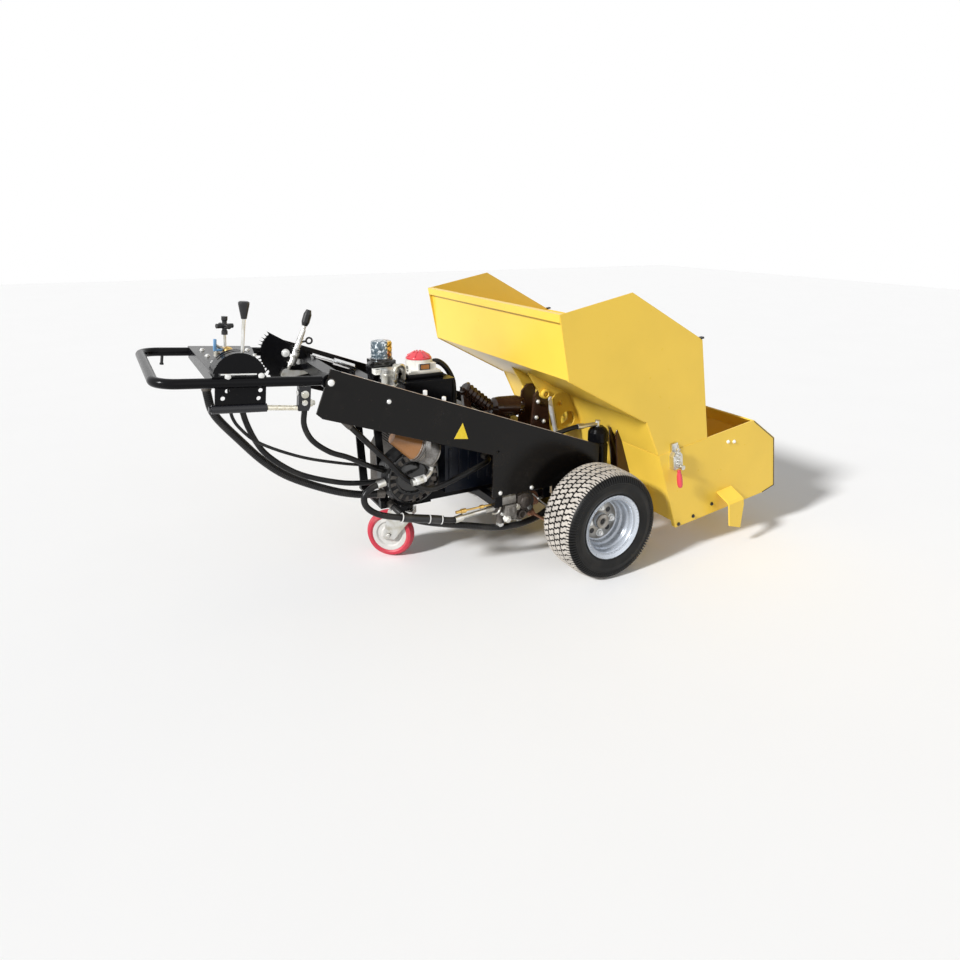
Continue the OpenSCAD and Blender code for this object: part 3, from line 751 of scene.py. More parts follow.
class Solid:
    """Gathers the faces of one piece, in millimetres of one frame."""

    def __init__(self, place: Place = Place.AXLE) -> None:
        """Starts an empty piece.

        Args:
            place: The frame that the sizes are written in.
        """
        self.place = place
        self.bm = bmesh.new()
        self.along: list[tuple[bmesh.types.BMFace, list[tuple[float, float]]]] = []

    def block(self, low: Point, high: Point, turn: Matrix | None = None) -> "Solid":
        """Adds a box.

        Args:
            low: Its lowest corner.
            high: Its highest corner.
            turn: A matrix that turns it afterwards.

        Returns:
            This piece.
        """
        size = [h - l for l, h in zip(low, high)]
        middle = [(l + h) / 2 for l, h in zip(low, high)]
        matrix = Matrix.Translation(middle) @ Matrix.Diagonal((*size, 1.0))
        bmesh.ops.create_cube(self.bm, size=1.0, matrix=(turn or Matrix()) @ matrix)
        return self

    def lathe(
        self,
        start: Point,
        end: Point,
        profile: list[tuple[float, float]],
        sides: int = 32,
        closed: bool = False,
    ) -> "Solid":
        """Adds a turned shape along a line.

        Args:
            start: Where height 0 lies.
            end: A point further along its axis.
            profile: Radius and height of each ring, from start towards end.
            sides: Number of sides.
            closed: Whether the profile closes on itself round an open middle.

        Returns:
            This piece.
        """
        a, b = Vector(start), Vector(end)
        turn = (b - a).to_track_quat("Z", "Y").to_matrix().to_4x4()
        frame = Matrix.Translation(a) @ turn
        rings = []
        for radius, height in profile:
            ring = []
            for i in range(sides):
                angle = 2 * math.pi * i / sides
                spot = Vector((radius * math.cos(angle), radius * math.sin(angle), height))
                ring.append(self.bm.verts.new(frame @ spot))
            rings.append(ring)
        bridge(self.bm, rings, closed)
        return self

    def prism(self, outline: list[tuple[float, float]], y0: float, y1: float) -> "Solid":
        """Adds a plate from an outline in x and z.

        Args:
            outline: Its corners, counterclockwise seen from -y.
            y0: One face.
            y1: The other face.

        Returns:
            This piece.
        """
        sides = [[self.bm.verts.new((x, y, z)) for x, z in outline] for y in (y0, y1)]
        bridge(self.bm, sides)
        return self

    def tube(self, points: list[Vector], radius: float, sides: int = 14) -> "Solid":
        """Adds a round tube along points, with its length kept for the UV map.

        Args:
            points: The points that it follows.
            radius: Its radius.
            sides: Number of sides.

        Returns:
            This piece.
        """
        rings, run, lengths = [], 0.0, []
        normal = Vector((0, 0, 1))
        for i, spot in enumerate(points):
            ahead = points[min(i + 1, len(points) - 1)] - points[max(i - 1, 0)]
            ahead.normalize()
            if i == 0 and abs(ahead.z) > 0.9:
                normal = Vector((0, 1, 0))
            normal = (normal - ahead * normal.dot(ahead)).normalized()
            side = ahead.cross(normal)
            run += (spot - points[i - 1]).length / 1000 if i else 0.0
            lengths.append(run)
            ring = []
            for k in range(sides):
                angle = 2 * math.pi * k / sides
                out = math.cos(angle) * normal + math.sin(angle) * side
                ring.append(self.bm.verts.new(spot + radius * out))
            rings.append(ring)
        for i, (one, two) in enumerate(zip(rings, rings[1:])):
            for k in range(sides):
                j = (k + 1) % sides
                face = self.bm.faces.new((one[k], two[k], two[j], one[j]))
                low, high = lengths[i], lengths[i + 1]
                u0, u1 = k / sides, (k + 1) / sides
                corners = [(u0, low), (u0, high), (u1, high), (u1, low)]
                self.along.append((face, corners))
        self.bm.faces.new(rings[0])
        self.bm.faces.new(list(reversed(rings[-1])))
        return self

    def end(
        self, name: str, material: bpy.types.Material, body: str | None, slot: str, bevel: float = 0.0
    ) -> bpy.types.Object:
        """Turns the faces into a finished piece.

        Args:
            name: The piece's name.
            material: Its finish.
            body: The CAD body that it rides on, or None if it is placed later.
            slot: The record's material slot; not used.
            bevel: Width of the bevel on its edges, in millimetres.

        Returns:
            The object.
        """
        bm = self.bm
        if self.along:
            layer = bm.loops.layers.uv.new("along")
            for face, corners in self.along:
                for loop, corner in zip(face.loops, corners):
                    loop[layer].uv = corner
        bmesh.ops.recalc_face_normals(bm, faces=bm.faces[:])
        if bevel:
            sharp = [e for e in bm.edges if len(e.link_faces) == 2 and e.calc_face_angle(0.0) > 0.6]
            bmesh.ops.bevel(
                bm, geom=sharp, offset=bevel, segments=2, profile=0.6, affect="EDGES", clamp_overlap=True
            )
        bmesh.ops.transform(bm, matrix=self.place.matrix(), verts=bm.verts[:])
        for edge in bm.edges:
            edge.smooth = not (len(edge.link_faces) == 2 and edge.calc_face_angle(0.0) > 0.7)
        for face in bm.faces:
            face.smooth = True
        piece = stand(name, bm)
        piece.data.materials.append(material)
        if body:
            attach(piece, body)
        LOG.info("%s: %d faces on %s", name, len(piece.data.polygons), body)
        return piece


class Repeat:
    """A Geometry Nodes tree that sets copies of a shape around or along an axis."""

    def __init__(self) -> None:
        """Builds the tree: count, turn and step between copies, slight random turns, finish."""
        self.tree = bpy.data.node_groups.new("repeat", "GeometryNodeTree")
        face = self.tree.interface
        face.new_socket("Geometry", in_out="INPUT", socket_type="NodeSocketGeometry")
        face.new_socket("Geometry", in_out="OUTPUT", socket_type="NodeSocketGeometry")
        for name, kind in (
            ("Count", "NodeSocketInt"),
            ("Turn", "NodeSocketVector"),
            ("Step", "NodeSocketVector"),
            ("Start", "NodeSocketVector"),
            ("Wobble", "NodeSocketFloat"),
            ("Seed", "NodeSocketInt"),
            ("Finish", "NodeSocketMaterial"),
        ):
            face.new_socket(name, in_out="INPUT", socket_type=kind)
        source = self.add("NodeGroupInput")
        index = self.add("GeometryNodeInputIndex").outputs[0]
        turn = self.vector("SCALE", source.outputs["Turn"], index)
        step = self.vector("SCALE", source.outputs["Step"], index)
        spot = self.vector("ADD", step, source.outputs["Start"])
        points = self.add("GeometryNodePoints", {"Count": source.outputs["Count"], "Position": spot})
        shake = self.add(
            "FunctionNodeRandomValue",
            {0: (-1.0, -1.0, -1.0), 1: (1.0, 1.0, 1.0), "Seed": source.outputs["Seed"]},
            {"data_type": "FLOAT_VECTOR"},
        )
        shaken = self.vector("SCALE", shake.outputs[0], source.outputs["Wobble"])
        pose = self.vector("ADD", turn, shaken)
        copies = self.add(
            "GeometryNodeInstanceOnPoints",
            {"Points": points.outputs[0], "Instance": source.outputs["Geometry"], "Rotation": pose},
        )
        real = self.add("GeometryNodeRealizeInstances", {0: copies.outputs[0]})
        dressed = self.add(
            "GeometryNodeSetMaterial", {0: real.outputs[0], "Material": source.outputs["Finish"]}
        )
        self.add("NodeGroupOutput", {0: dressed.outputs[0]})

    def add(
        self,
        kind: str,
        inputs: dict[int | str, object] | None = None,
        settings: dict[str, object] | None = None,
    ) -> bpy.types.Node:
        """Adds a node to the tree.

        Args:
            kind: The node's type.
            inputs: Values or output sockets, by input.
            settings: The node's settings.

        Returns:
            The node.
        """
        made = self.tree.nodes.new(kind)
        for key, value in (settings or {}).items():
            setattr(made, key, value)
        for key, value in (inputs or {}).items():
            if isinstance(value, bpy.types.NodeSocket):
                self.tree.links.new(value, made.inputs[key])
            else:
                made.inputs[key].default_value = value
        return made

    def vector(
        self, operation: str, one: bpy.types.NodeSocket, two: bpy.types.NodeSocket
    ) -> bpy.types.NodeSocket:
        """Returns the result of one Vector Math node."""
        inputs = {0: one, "Scale" if operation == "SCALE" else 1: two}
        return self.add("ShaderNodeVectorMath", inputs, {"operation": operation}).outputs[0]

    def apply(
        self,
        piece: bpy.types.Object,
        count: int,
        turn: Point,
        step: Point,
        start: Point,
        material: bpy.types.Material,
        wobble: float = 0.0,
        seed: int = 7,
    ) -> None:
        """Repeats a piece's mesh in place and leaves a plain mesh.

        Args:
            piece: The piece, whose mesh is one copy about the origin.
            count: Number of copies.
            turn: Angles between copies, in radians.
            step: Distance between copies, in metres.
            start: Place of the first copy, in metres.
            material: The finish of the copies.
            wobble: Random turn of each copy, in radians.
            seed: Seed of the random turns.
        """
        modifier = piece.modifiers.new("repeat", "NODES")
        modifier.node_group = self.tree
        values = {"Count": count, "Turn": turn, "Step": step, "Start": start}
        values |= {"Wobble": wobble, "Seed": seed, "Finish": material}
        for item in self.tree.interface.items_tree:
            if item.in_out == "INPUT" and item.name in values:
                modifier[item.identifier] = values[item.name]
        graph = bpy.context.evaluated_depsgraph_get()
        plain = bpy.data.meshes.new_from_object(piece.evaluated_get(graph))
        piece.modifiers.remove(modifier)
        piece.data = plain
        if not plain.materials:
            plain.materials.append(material)
        LOG.info("%s: %d copies, %d faces", piece.name, count, len(plain.polygons))


def smooth_path(points: list[Point], steps: int = 6) -> list[Vector]:
    """Rounds a route into a smooth curve through its points.

    Args:
        points: The route's points.
        steps: Pieces between two points.

    Returns:
        The curve's points.
    """
    knots = [Vector(p) for p in points]
    knots = [knots[0] * 2 - knots[1], *knots, knots[-1] * 2 - knots[-2]]
    curve = []
    for p0, p1, p2, p3 in zip(knots, knots[1:], knots[2:], knots[3:]):
        for i in range(steps):
            t = i / steps
            slope = (p2 - p0) * t
            bow = (2 * p0 - 5 * p1 + 4 * p2 - p3) * t * t
            twist = (3 * p1 - p0 - 3 * p2 + p3) * t**3
            curve.append(0.5 * (2 * p1 + slope + bow + twist))
    curve.append(knots[-2])
    return curve


# The photograph's view


@dataclass
class Studio:
    """Camera, lamps, floor and world."""

    eye: Point = (-1.2908, -2.3924, 1.2826)
    yaw: float = 29.276
    pitch: float = 12.736
    roll: float = 0.508
    lens: float = 26.705
    shift: tuple[float, float] = (-0.0054, -0.1033)
    sky: float = 0.35
    sun: float = 3.9
    sun_from: Point = (-5.0, -1.05, 3.0)
    fill: float = 0.22
    fill_from: Point = (1.0, -4.0, 1.5)
    ground: float = 14.0

    def camera(self) -> None:
        """Puts the camera where the photographer stood."""
        data = bpy.data.cameras.new("camera")
        data.lens, data.sensor_width, data.sensor_fit = self.lens, 36.0, "HORIZONTAL"
        data.shift_x, data.shift_y = self.shift
        data.clip_start, data.clip_end = 0.05, 100.0
        camera = bpy.data.objects.new("camera", data)
        bpy.context.scene.collection.objects.link(camera)
        yaw, pitch, roll = (math.radians(a) for a in (self.yaw, self.pitch, self.roll))
        ahead = Vector((math.sin(yaw) * math.cos(pitch), math.cos(yaw) * math.cos(pitch), -math.sin(pitch)))
        right = Vector((math.cos(yaw), -math.sin(yaw), 0.0))
        up = right.cross(ahead)
        side = right * math.cos(roll) + up * math.sin(roll)
        top = side.cross(ahead)
        turn = Matrix((side, top, -ahead)).transposed().to_4x4()
        camera.matrix_world = Matrix.Translation(self.eye) @ turn
        bpy.context.scene.camera = camera

    def light(self) -> None:
        """Makes the soft sky, the lamps and the pale floor."""
        scene = bpy.context.scene
        scene.view_settings.view_transform = "Standard"
        sky = Net("sky", world=True)
        kinds = ("Camera", "Transmission", "Glossy")
        camera, through, glossy = (sky.node("ShaderNodeLightPath", out=f"Is {kind} Ray") for kind in kinds)
        seen = camera.maths("MAXIMUM", through).maths("MAXIMUM", glossy)
        strength = seen * (1.0 - self.sky) + self.sky
        sky.close(sky.node("ShaderNodeBackground", {}, {"Color": (1.0, 1.0, 1.0), "Strength": strength}))
        scene.world = sky.owner
        self.lamp("sun", self.sun, self.sun_from, 0.12)
        self.lamp("fill", self.fill, self.fill_from, 0.8)
        mesh = bpy.data.meshes.new("floor")
        size = self.ground
        corners = [(-size, -size, 0), (size, -size, 0), (size, size, 0), (-size, size, 0)]
        mesh.from_pydata(corners, [], [(0, 1, 2, 3)])
        floor = bpy.data.objects.new("floor", mesh)
        scene.collection.objects.link(floor)
        net = Net("floor")
        tone = net.blend(net.noise(2.0), (0.92, 0.92, 0.92), (0.94, 0.94, 0.94))
        mesh.materials.append(net.surface(Base_Color=tone, Roughness=0.9))

    def lamp(self, name: str, energy: float, place: Point, spread: float) -> None:
        """Adds a sun lamp that points at the machine.

        Args:
            name: Its name.
            energy: Its strength.
            place: Where it stands.
            spread: Its angle in radians.
        """
        data = bpy.data.lights.new(name, "SUN")
        data.energy, data.angle = energy, spread
        lamp = bpy.data.objects.new(name, data)
        lamp.location = place
        lamp.rotation_euler = (-Vector(place)).to_track_quat("-Z", "Y").to_euler()
        bpy.context.scene.collection.objects.link(lamp)


# Hoses


class Lay(Enum):
    """How a hose lies."""

    TAUT = "taut"
    HANGING = "hanging"


@dataclass(frozen=True)
class Hose:
    """One hydraulic hose or cable: its route in metres from the axle, and its looks."""

    name: str
    radius: float
    route: tuple[Point, ...]
    finish: str = "hose"
    lay: Lay = Lay.TAUT
    crosses: bool = False
    sleeve: bool = True
    crimp: str = "cast"

    def curve(self, steps: int = 6) -> list[Vector]:
        """Returns its smooth route in millimetres, with steps between two points."""
        return smooth_path([(x * 1000, y * 1000, z * 1000) for x, y, z in self.route], steps)


HOSES = (
    Hose(
        "hose_droop_a",
        0.013,
        (
            (-1.287, -0.15, 0.7994), (-1.285, -0.15, 0.755), (-1.268, -0.15, 0.69), (-1.2, -0.15, 0.6),
            (-1.13, -0.15, 0.518), (-1.05, -0.152, 0.452), (-0.92, -0.155, 0.385), (-0.82, -0.16, 0.352),
            (-0.7296, -0.165, 0.34),
        ),
        "hose_ribbed",
        Lay.HANGING,
        True,
    ),
    Hose(
        "hose_droop_b",
        0.009,
        (
            (-1.193, -0.195, 0.8269), (-1.194, -0.195, 0.78), (-1.194, -0.2, 0.7), (-1.164, -0.2, 0.61),
            (-1.12, -0.2, 0.545), (-1.03, -0.2, 0.475), (-0.9, -0.195, 0.422), (-0.8, -0.18, 0.398),
            (-0.7365, -0.17, 0.39),
        ),
        "hose",
        Lay.HANGING,
        True,
    ),
    Hose(
        "hose_thin",
        0.005,
        (
            (-1.234, -0.224, 0.8305), (-1.234, -0.224, 0.78), (-1.232, -0.224, 0.706),
            (-1.206, -0.224, 0.655), (-1.15, -0.224, 0.602), (-1.028, -0.224, 0.54),
            (-0.896, -0.215, 0.495), (-0.81, -0.195, 0.468), (-0.7322, -0.157, 0.437),
        ),
        "hose",
        Lay.HANGING,
        True,
        False,
    ),
    Hose(
        "hose_cross",
        0.009,
        (
            (-1.024, -0.27, 0.7063), (-1.026, -0.266, 0.655), (-1.0, -0.258, 0.6),
            (-0.944, -0.25, 0.552), (-0.88, -0.24, 0.52), (-0.8, -0.215, 0.47), (-0.7335, -0.17, 0.428),
        ),
        "hose",
        Lay.HANGING,
        True,
        False,
    ),
    Hose(
        "hose_pump",
        0.010,
        (
            (-0.895, -0.255, 0.65), (-0.86, -0.25, 0.612), (-0.8, -0.246, 0.545), (-0.738, -0.24, 0.478),
            (-0.676, -0.23, 0.408), (-0.58, -0.228, 0.352), (-0.465, -0.228, 0.378),
            (-0.39, -0.225, 0.4), (-0.345, -0.215, 0.412), (-0.326, -0.19, 0.414),
            (-0.325, -0.1506, 0.414),
        ),
    ),
    Hose(
        "hose_loop",
        0.011,
        (
            (-0.752, -0.232, 0.408), (-0.8, -0.234, 0.398), (-0.828, -0.236, 0.372),
            (-0.822, -0.238, 0.335), (-0.78, -0.24, 0.3), (-0.7, -0.245, 0.274), (-0.59, -0.25, 0.248),
            (-0.51, -0.262, 0.2326), (-0.4704, -0.262, 0.236),
        ),
        crimp="zinc",
    ),
    Hose(
        "hose_top",
        0.011,
        (
            (-0.47, 0.02, 0.7234), (-0.47, 0.02, 0.742), (-0.446, 0.008, 0.76), (-0.41, 0.004, 0.738),
            (-0.382, 0.0, 0.69), (-0.374, 0.0, 0.64), (-0.374, 0.0, 0.54), (-0.374, 0.0, 0.4784),
        ),
    ),
    Hose(
        "hose_lift",
        0.009,
        (
            (0.0596, -0.258, 0.505), (0.02, -0.258, 0.505), (-0.03, -0.256, 0.497),
            (-0.08, -0.254, 0.484), (-0.14, -0.25, 0.448), (-0.2, -0.25, 0.396), (-0.248, -0.253, 0.352),
            (-0.262, -0.255, 0.334), (-0.262, -0.255, 0.3204),
        ),
        crimp="zinc",
    ),
    Hose(
        "hose_low",
        0.012,
        (
            (-0.69, -0.1174, 0.277), (-0.69, -0.145, 0.277), (-0.672, -0.19, 0.26),
            (-0.62, -0.214, 0.234), (-0.53, -0.228, 0.208), (-0.42, -0.244, 0.184),
            (-0.33, -0.254, 0.162), (-0.24, -0.258, 0.156), (-0.15, -0.262, 0.17), (-0.09, -0.268, 0.2),
            (-0.0456, -0.27, 0.204),
        ),
        "hose_ribbed",
    ),
)


@dataclass
class Hoses:
    """All hoses, with the crimped sleeves at their ends."""

    finishes: Finishes
    routes: tuple[Hose, ...] = HOSES

    def build(self) -> None:
        """Makes each hose and hides the CAD node that it replaces."""
        for hose in self.routes:
            points = hose.curve()
            solid = Solid().tube(points, hose.radius * 1000, 16)
            piece = solid.end(hose.name + "_skin", self.finishes[hose.finish], None, "hose")
            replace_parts(piece, hose.name)
            if hose.crosses:
                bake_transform(piece)
            else:
                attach(piece, "chassis")


# Wheels


@dataclass
class DriveWheel:
    """A turf tyre with its tread and the dressed rim inside it."""

    finishes: Finishes
    repeat: Repeat
    side: int
    pitches: int = 56
    tread_depth: float = 8.0
    lug_circle: float = 50.0
    columns: int = 4
    column_gap: float = 34.6
    stagger: float = 0.2
    crown_drop: float = 8.0
    crown_flat: float = 30.0
    crown_reach: float = 50.0

    def __post_init__(self) -> None:
        """Names the side and its body, and finds the hub."""
        self.word = side_word(self.side)
        self.body = f"wheel_{self.word}"
        self.hub = (0.0, self.side * WHEEL_Y, WHEEL_R)

    def crown(self, y: float) -> float:
        """Returns the tread's radius at y from the tyre's middle."""
        return WHEEL_R - self.crown_drop * max(0.0, (abs(y) - self.crown_flat) / self.crown_reach) ** 2

    def carcass(self) -> None:
        """Makes the smooth casing with its bead and sidewall rings."""
        half = [
            (102.5, 0), (102.5, 73.6), (120.4, 73.6), (120.4, 78), (123, 80), (126, 80), (130, 84.5),
            (139, 88.6), (150, 89.6), (152, 90), (154, 89.6), (165, 88.6), (168, 88.2), (169.4, 89.6),
            (171, 87.8), (176, 85.5), (184, 81), (190, 74), (193, 66), (195.5, 45), (196, 20),
        ]
        loop = half + [(radius, -y) for radius, y in reversed(half[1:])]
        solid = Solid()
        bm, sides = solid.bm, 96
        rings = []
        for i in range(sides):
            angle = 2 * math.pi * i / sides
            ring = [(r * math.cos(angle), y + self.hub[1], r * math.sin(angle) + WHEEL_R) for r, y in loop]
            rings.append([bm.verts.new(spot) for spot in ring])
        bridge(bm, rings, closed=True)
        tyre = solid.end(f"turf_tyre_{self.word}", self.finishes["tyre"], self.body, "tyre")
        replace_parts(tyre, f"tyre_{self.word}")

    def block(self, bm: bmesh.types.BMesh, outline: list[tuple[float, float]]) -> None:
        """Adds one tread block about the wheel's axis.

        Args:
            bm: The mesh that it goes to.
            outline: Its corners, along the tread and across it, in millimetres.
        """
        rows = []
        mid_s, mid_y = (sum(corner[k] for corner in outline) / len(outline) for k in (0, 1))
        for inset, depth in ((0.0, self.tread_depth + 2.0), (0.0, 1.0), (0.9, 0.0)):
            row = []
            for s, y in outline:
                pull = 1.0 - inset / max(math.hypot(s - mid_s, y - mid_y), 1.0)
                s, across = mid_s + (s - mid_s) * pull, mid_y + (y - mid_y) * pull
                row.append(bm.verts.new(self.around(self.crown(across) - depth, s, across)))
            rows.append(row)
        bridge(bm, rows)

    def around(self, radius: float, s: float, across: float) -> Point:
        """Returns a tread point in metres from its radius, its place along the tread and across it."""
        angle = s / WHEEL_R
        return (radius * math.sin(angle) / 1000, across / 1000, radius * math.cos(angle) / 1000)

    def tread(self) -> None:
        """Makes one pitch of S-shaped blocks and shoulder lugs, and repeats it round the tyre."""
        pitch = 2 * math.pi * WHEEL_R / self.pitches
        zed = [(-4, -14), (12, -14), (12, -4), (4, 4), (4, 14), (-12, 14), (-12, 4), (-4, -4)]
        blocks, lugs = bmesh.new(), bmesh.new()
        for column in range(self.columns):
            across = self.column_gap * (column - (self.columns - 1) / 2)
            self.block(blocks, [(s + pitch * self.stagger * column, y + across) for s, y in zed])
        for turn in (-1, 1):
            for offset in (0.0, pitch / 2):
                self.lug(lugs, offset, turn)
        start = (AXLE_X / 1000, self.hub[1] / 1000, WHEEL_R / 1000)
        step = 2 * math.pi / self.pitches
        for kind, bm in (("blocks", blocks), ("lugs", lugs)):
            bmesh.ops.recalc_face_normals(bm, faces=bm.faces[:])
            piece = stand(f"tread_{kind}_{self.word}", bm)
            self.repeat.apply(piece, self.pitches, (0, step, 0), (0, 0, 0), start, self.finishes["tread"])
            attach(piece, self.body)

    def lug(self, bm: bmesh.types.BMesh, offset: float, turn: int) -> None:
        """Adds one shoulder lug.

        Args:
            bm: The mesh that it goes to.
            offset: Its place along the tread.
            turn: 1 or -1 for the shoulder.
        """
        spine = [(67, 199.6), (76, 195.5), (84, 188.5), (88.6, 176.0)]
        section = [(-3.8, self.tread_depth), (-3.2, 0.0), (3.2, 0.0), (3.8, self.tread_depth)]
        rows = []
        for across, radius in spine:
            spots = [self.around(radius - depth, s + offset, turn * across) for s, depth in section]
            rows.append([bm.verts.new(spot) for spot in spots])
        bridge(bm, rows)

    def spot(self, out: float, x: float = 0.0, z: float = 0.0) -> Point:
        """Returns a point out from the wheel's middle plane."""
        return (x, self.hub[1] + self.side * out, WHEEL_R + z)

    def rim(self) -> None:
        """Makes the deep stepped rim with its disc and drum."""
        lip = [
            (98.6, 66), (101, 71), (107, 75), (112, 78.2), (115.3, 82.2), (118.3, 83.6), (121, 81.8),
            (121.2, 79.4), (119.6, 77.4), (116, 75.2), (104, 74.4), (102.2, 73),
        ]
        front = [
            (6, 16), (28, 16), (29.5, 14.5), (29.5, 1), (74, 1), (77.5, 2.5), (80, 6), (81.5, 15),
            (84, 19.5), (88.5, 22.5), (90, 26.5), (91, 41), (94, 45), (97, 48), (98.2, 52),
        ]
        back = [(98.2, -30), (96, -10), (90, -8), (64, -8), (64, -41), (17, -41), (17, -11), (6, -11)]
        profile = front + lip + [(radius, -height) for radius, height in reversed(lip)] + back
        rim = Solid().lathe(self.spot(0), self.spot(9), profile, 72)
        piece = rim.end(f"stepped_rim_{self.word}", self.finishes["rim_silver"], self.body, "rim_silver")
        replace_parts(piece, f"rim_{self.word}")

    def hub_parts(self) -> None:
        """Makes the galvanised hub plate, its nuts, the black discs painted as the shade in its holes, and
        its centre.
        """
        plate = Solid().lathe(
            self.spot(0.2),
            self.spot(9),
            [(29.6, 1), (29.6, 3.4), (72, 3.4), (73.5, 2.4), (73.5, 1)],
            48,
            True,
        )
        plate.end(f"hub_plate_{self.word}", self.finishes["galvanised"], self.body, "zinc")
        ring = Solid().lathe(
            self.spot(16.2),
            self.spot(30),
            [(12, -1), (28, -1), (29, 2), (27, 7), (15, 8), (11, 5), (10, 1)],
            32,
            True,
        )
        ring.end(f"hub_ring_{self.word}", self.finishes["galvanised"], self.body, "zinc")
        profile = [(10.2, -1), (10.2, 2), (6, 2.5), (6, 4.2)]
        centre = Solid().lathe(self.spot(16.2), self.spot(30), profile, 24)
        centre.end(f"hub_centre_{self.word}", self.finishes["black_plastic"], self.body, "cast")
        nut = [
            (14.5, 3), (15, 4.5), (13, 5), (11.5, 5.2), (11.5, 13), (9, 15.5), (6.5, 15.5), (6.5, 20),
            (5, 21),
        ]
        nuts = Solid()
        hole_shade = Solid()
        for i in range(4):
            a, b = math.pi / 2 * i, math.pi / 2 * i + math.pi / 4
            x, z = self.lug_circle * math.cos(a), self.lug_circle * math.sin(a)
            nuts.lathe(self.spot(0, x, z), self.spot(9, x, z), nut, 12)
            # Black discs between the nuts stand in for the plate's holes: painted shade inside them.
            x, z = self.lug_circle * math.cos(b), self.lug_circle * math.sin(b)
            hole_shade.lathe(self.spot(0, x, z), self.spot(9, x, z), [(10.5, 3.0), (10.5, 4.0), (9.5, 4.3)], 20)
        nuts.end(f"wheel_nuts_{self.word}", self.finishes["white_zinc"], self.body, "zinc")
        hole_shade.end(f"hub_holes_{self.word}", self.finishes["black_plastic"], self.body, "rim_silver")

    def build(self) -> None:
        """Makes the whole wheel."""
        self.carcass()
        self.tread()
        self.rim()
        self.hub_parts()


# Chassis


@dataclass
class ChassisTrim:
    """Bolts, blank triangles and edge strips of the side plates, and the sector's bolts."""

    finishes: Finishes
    outer: float = 310.0
    bolts: tuple[tuple[float, float], ...] = (
        (-762.0, 711.0),
        (-342.0, 321.0),
        (-208.0, 318.0),
        (-40.0, 330.0),
    )
    sign: tuple[tuple[float, float], ...] = ((-528.0, 552.0), (-474.0, 544.0), (-495.0, 604.0))
    edge_start: float = -915.0
    edge_step: float = 24.0
    edge_steps: int = 40

    def bolt(self, heads: Solid, rings: Solid, spot: Point, side: int, size: float = 7.5) -> None:
        """Adds a round bolt head on its dark ring.

        Args:
            heads: The piece that takes the head.
            rings: The piece that takes the ring.
            spot: Where it sits on the plate's face.
            side: Which way it points along y.
            size: The head's radius.
        """
        out = (spot[0], spot[1] + side, spot[2])
        rings.lathe(spot, out, [(size + 3, 0), (size + 3, 0.8), (size + 2.4, 1.2)], 24)
        heads.lathe(spot, out, [(size, 0.6), (size, 3.2), (size * 0.8, 5.4), (size * 0.4, 6.2)], 20)

    def plate_bolts(self) -> None:
        """Makes the bolts of both side plates and the caps of the handle's pivot pins."""
        heads, rings = Solid(), Solid()
        for side in (-1, 1):
            for x, z in self.bolts:
                self.bolt(heads, rings, (x, side * self.outer, z), side)
            self.bolt(heads, rings, (PIVOT[0], side * (self.outer + 7), PIVOT[1]), side, 10.5)
        heads.end("plate_bolts", self.finishes["white_zinc"], "chassis", "zinc")
        rings.end("plate_bolt_rings", self.finishes["gloss_black"], "chassis", "black_plastic")

    def signs(self) -> None:
        """Makes the blank warning triangle on each plate."""
        for side in (-1, 1):
            low, high = sorted((side * self.outer, side * (self.outer + 0.7)))
            sign = Solid().prism(list(self.sign), low, high)
            name = f"blank_sign_{side_word(side)}"
            sign.end(name, self.finishes["sign_yellow"], "chassis", "yellow_paint")

    def edges(self) -> None:
        """Makes the bright bronze strip along the top edge of each plate, a painted highlight where the
        edge catches the light.
        """
        for side in (-1, 1):
            low, high = sorted((side * (self.outer - 1.5), side * (self.outer + 0.4)))
            strip = Solid()
            xs = [self.edge_start + self.edge_step * i for i in range(self.edge_steps + 1)]
            # Each strip is a painted highlight along the plate's top edge.
            for x0, x1 in zip(xs, xs[1:]):
                z0, z1 = top_z(x0), top_z(x1)
                strip.prism([(x0, z0 - 1.2), (x1, z1 - 1.2), (x1, z1 + 0.35), (x0, z0 + 0.35)], low, high)
            strip.end(f"plate_edge_{side_word(side)}", self.finishes["painted_edge_highlight"], "chassis", "black_paint")

    def sector_bolts(self) -> None:
        """Makes the bolts on the toothed sector."""
        sector = Solid()
        pivot = [(15, 0), (15, 3), (9, 3.2), (9, 9), (6, 10)]
        sector.lathe((PIVOT[0], 242.2, PIVOT[1]), (PIVOT[0], 240, PIVOT[1]), pivot, 16)
        for x, z in ((-905.0, 757.0), (-880.0, 745.0)):
            sector.lathe((x, 242.2, z), (x, 240, z), [(11, 0), (11, 2), (7, 2.2), (7, 8), (4, 9)], 14)
        sector.end("sector_bolts", self.finishes["white_zinc"], "chassis", "zinc")

    def build(self) -> None:
        """Makes the trim of the chassis."""
        self.plate_bolts()
        self.signs()
        self.edges()
        self.sector_bolts()


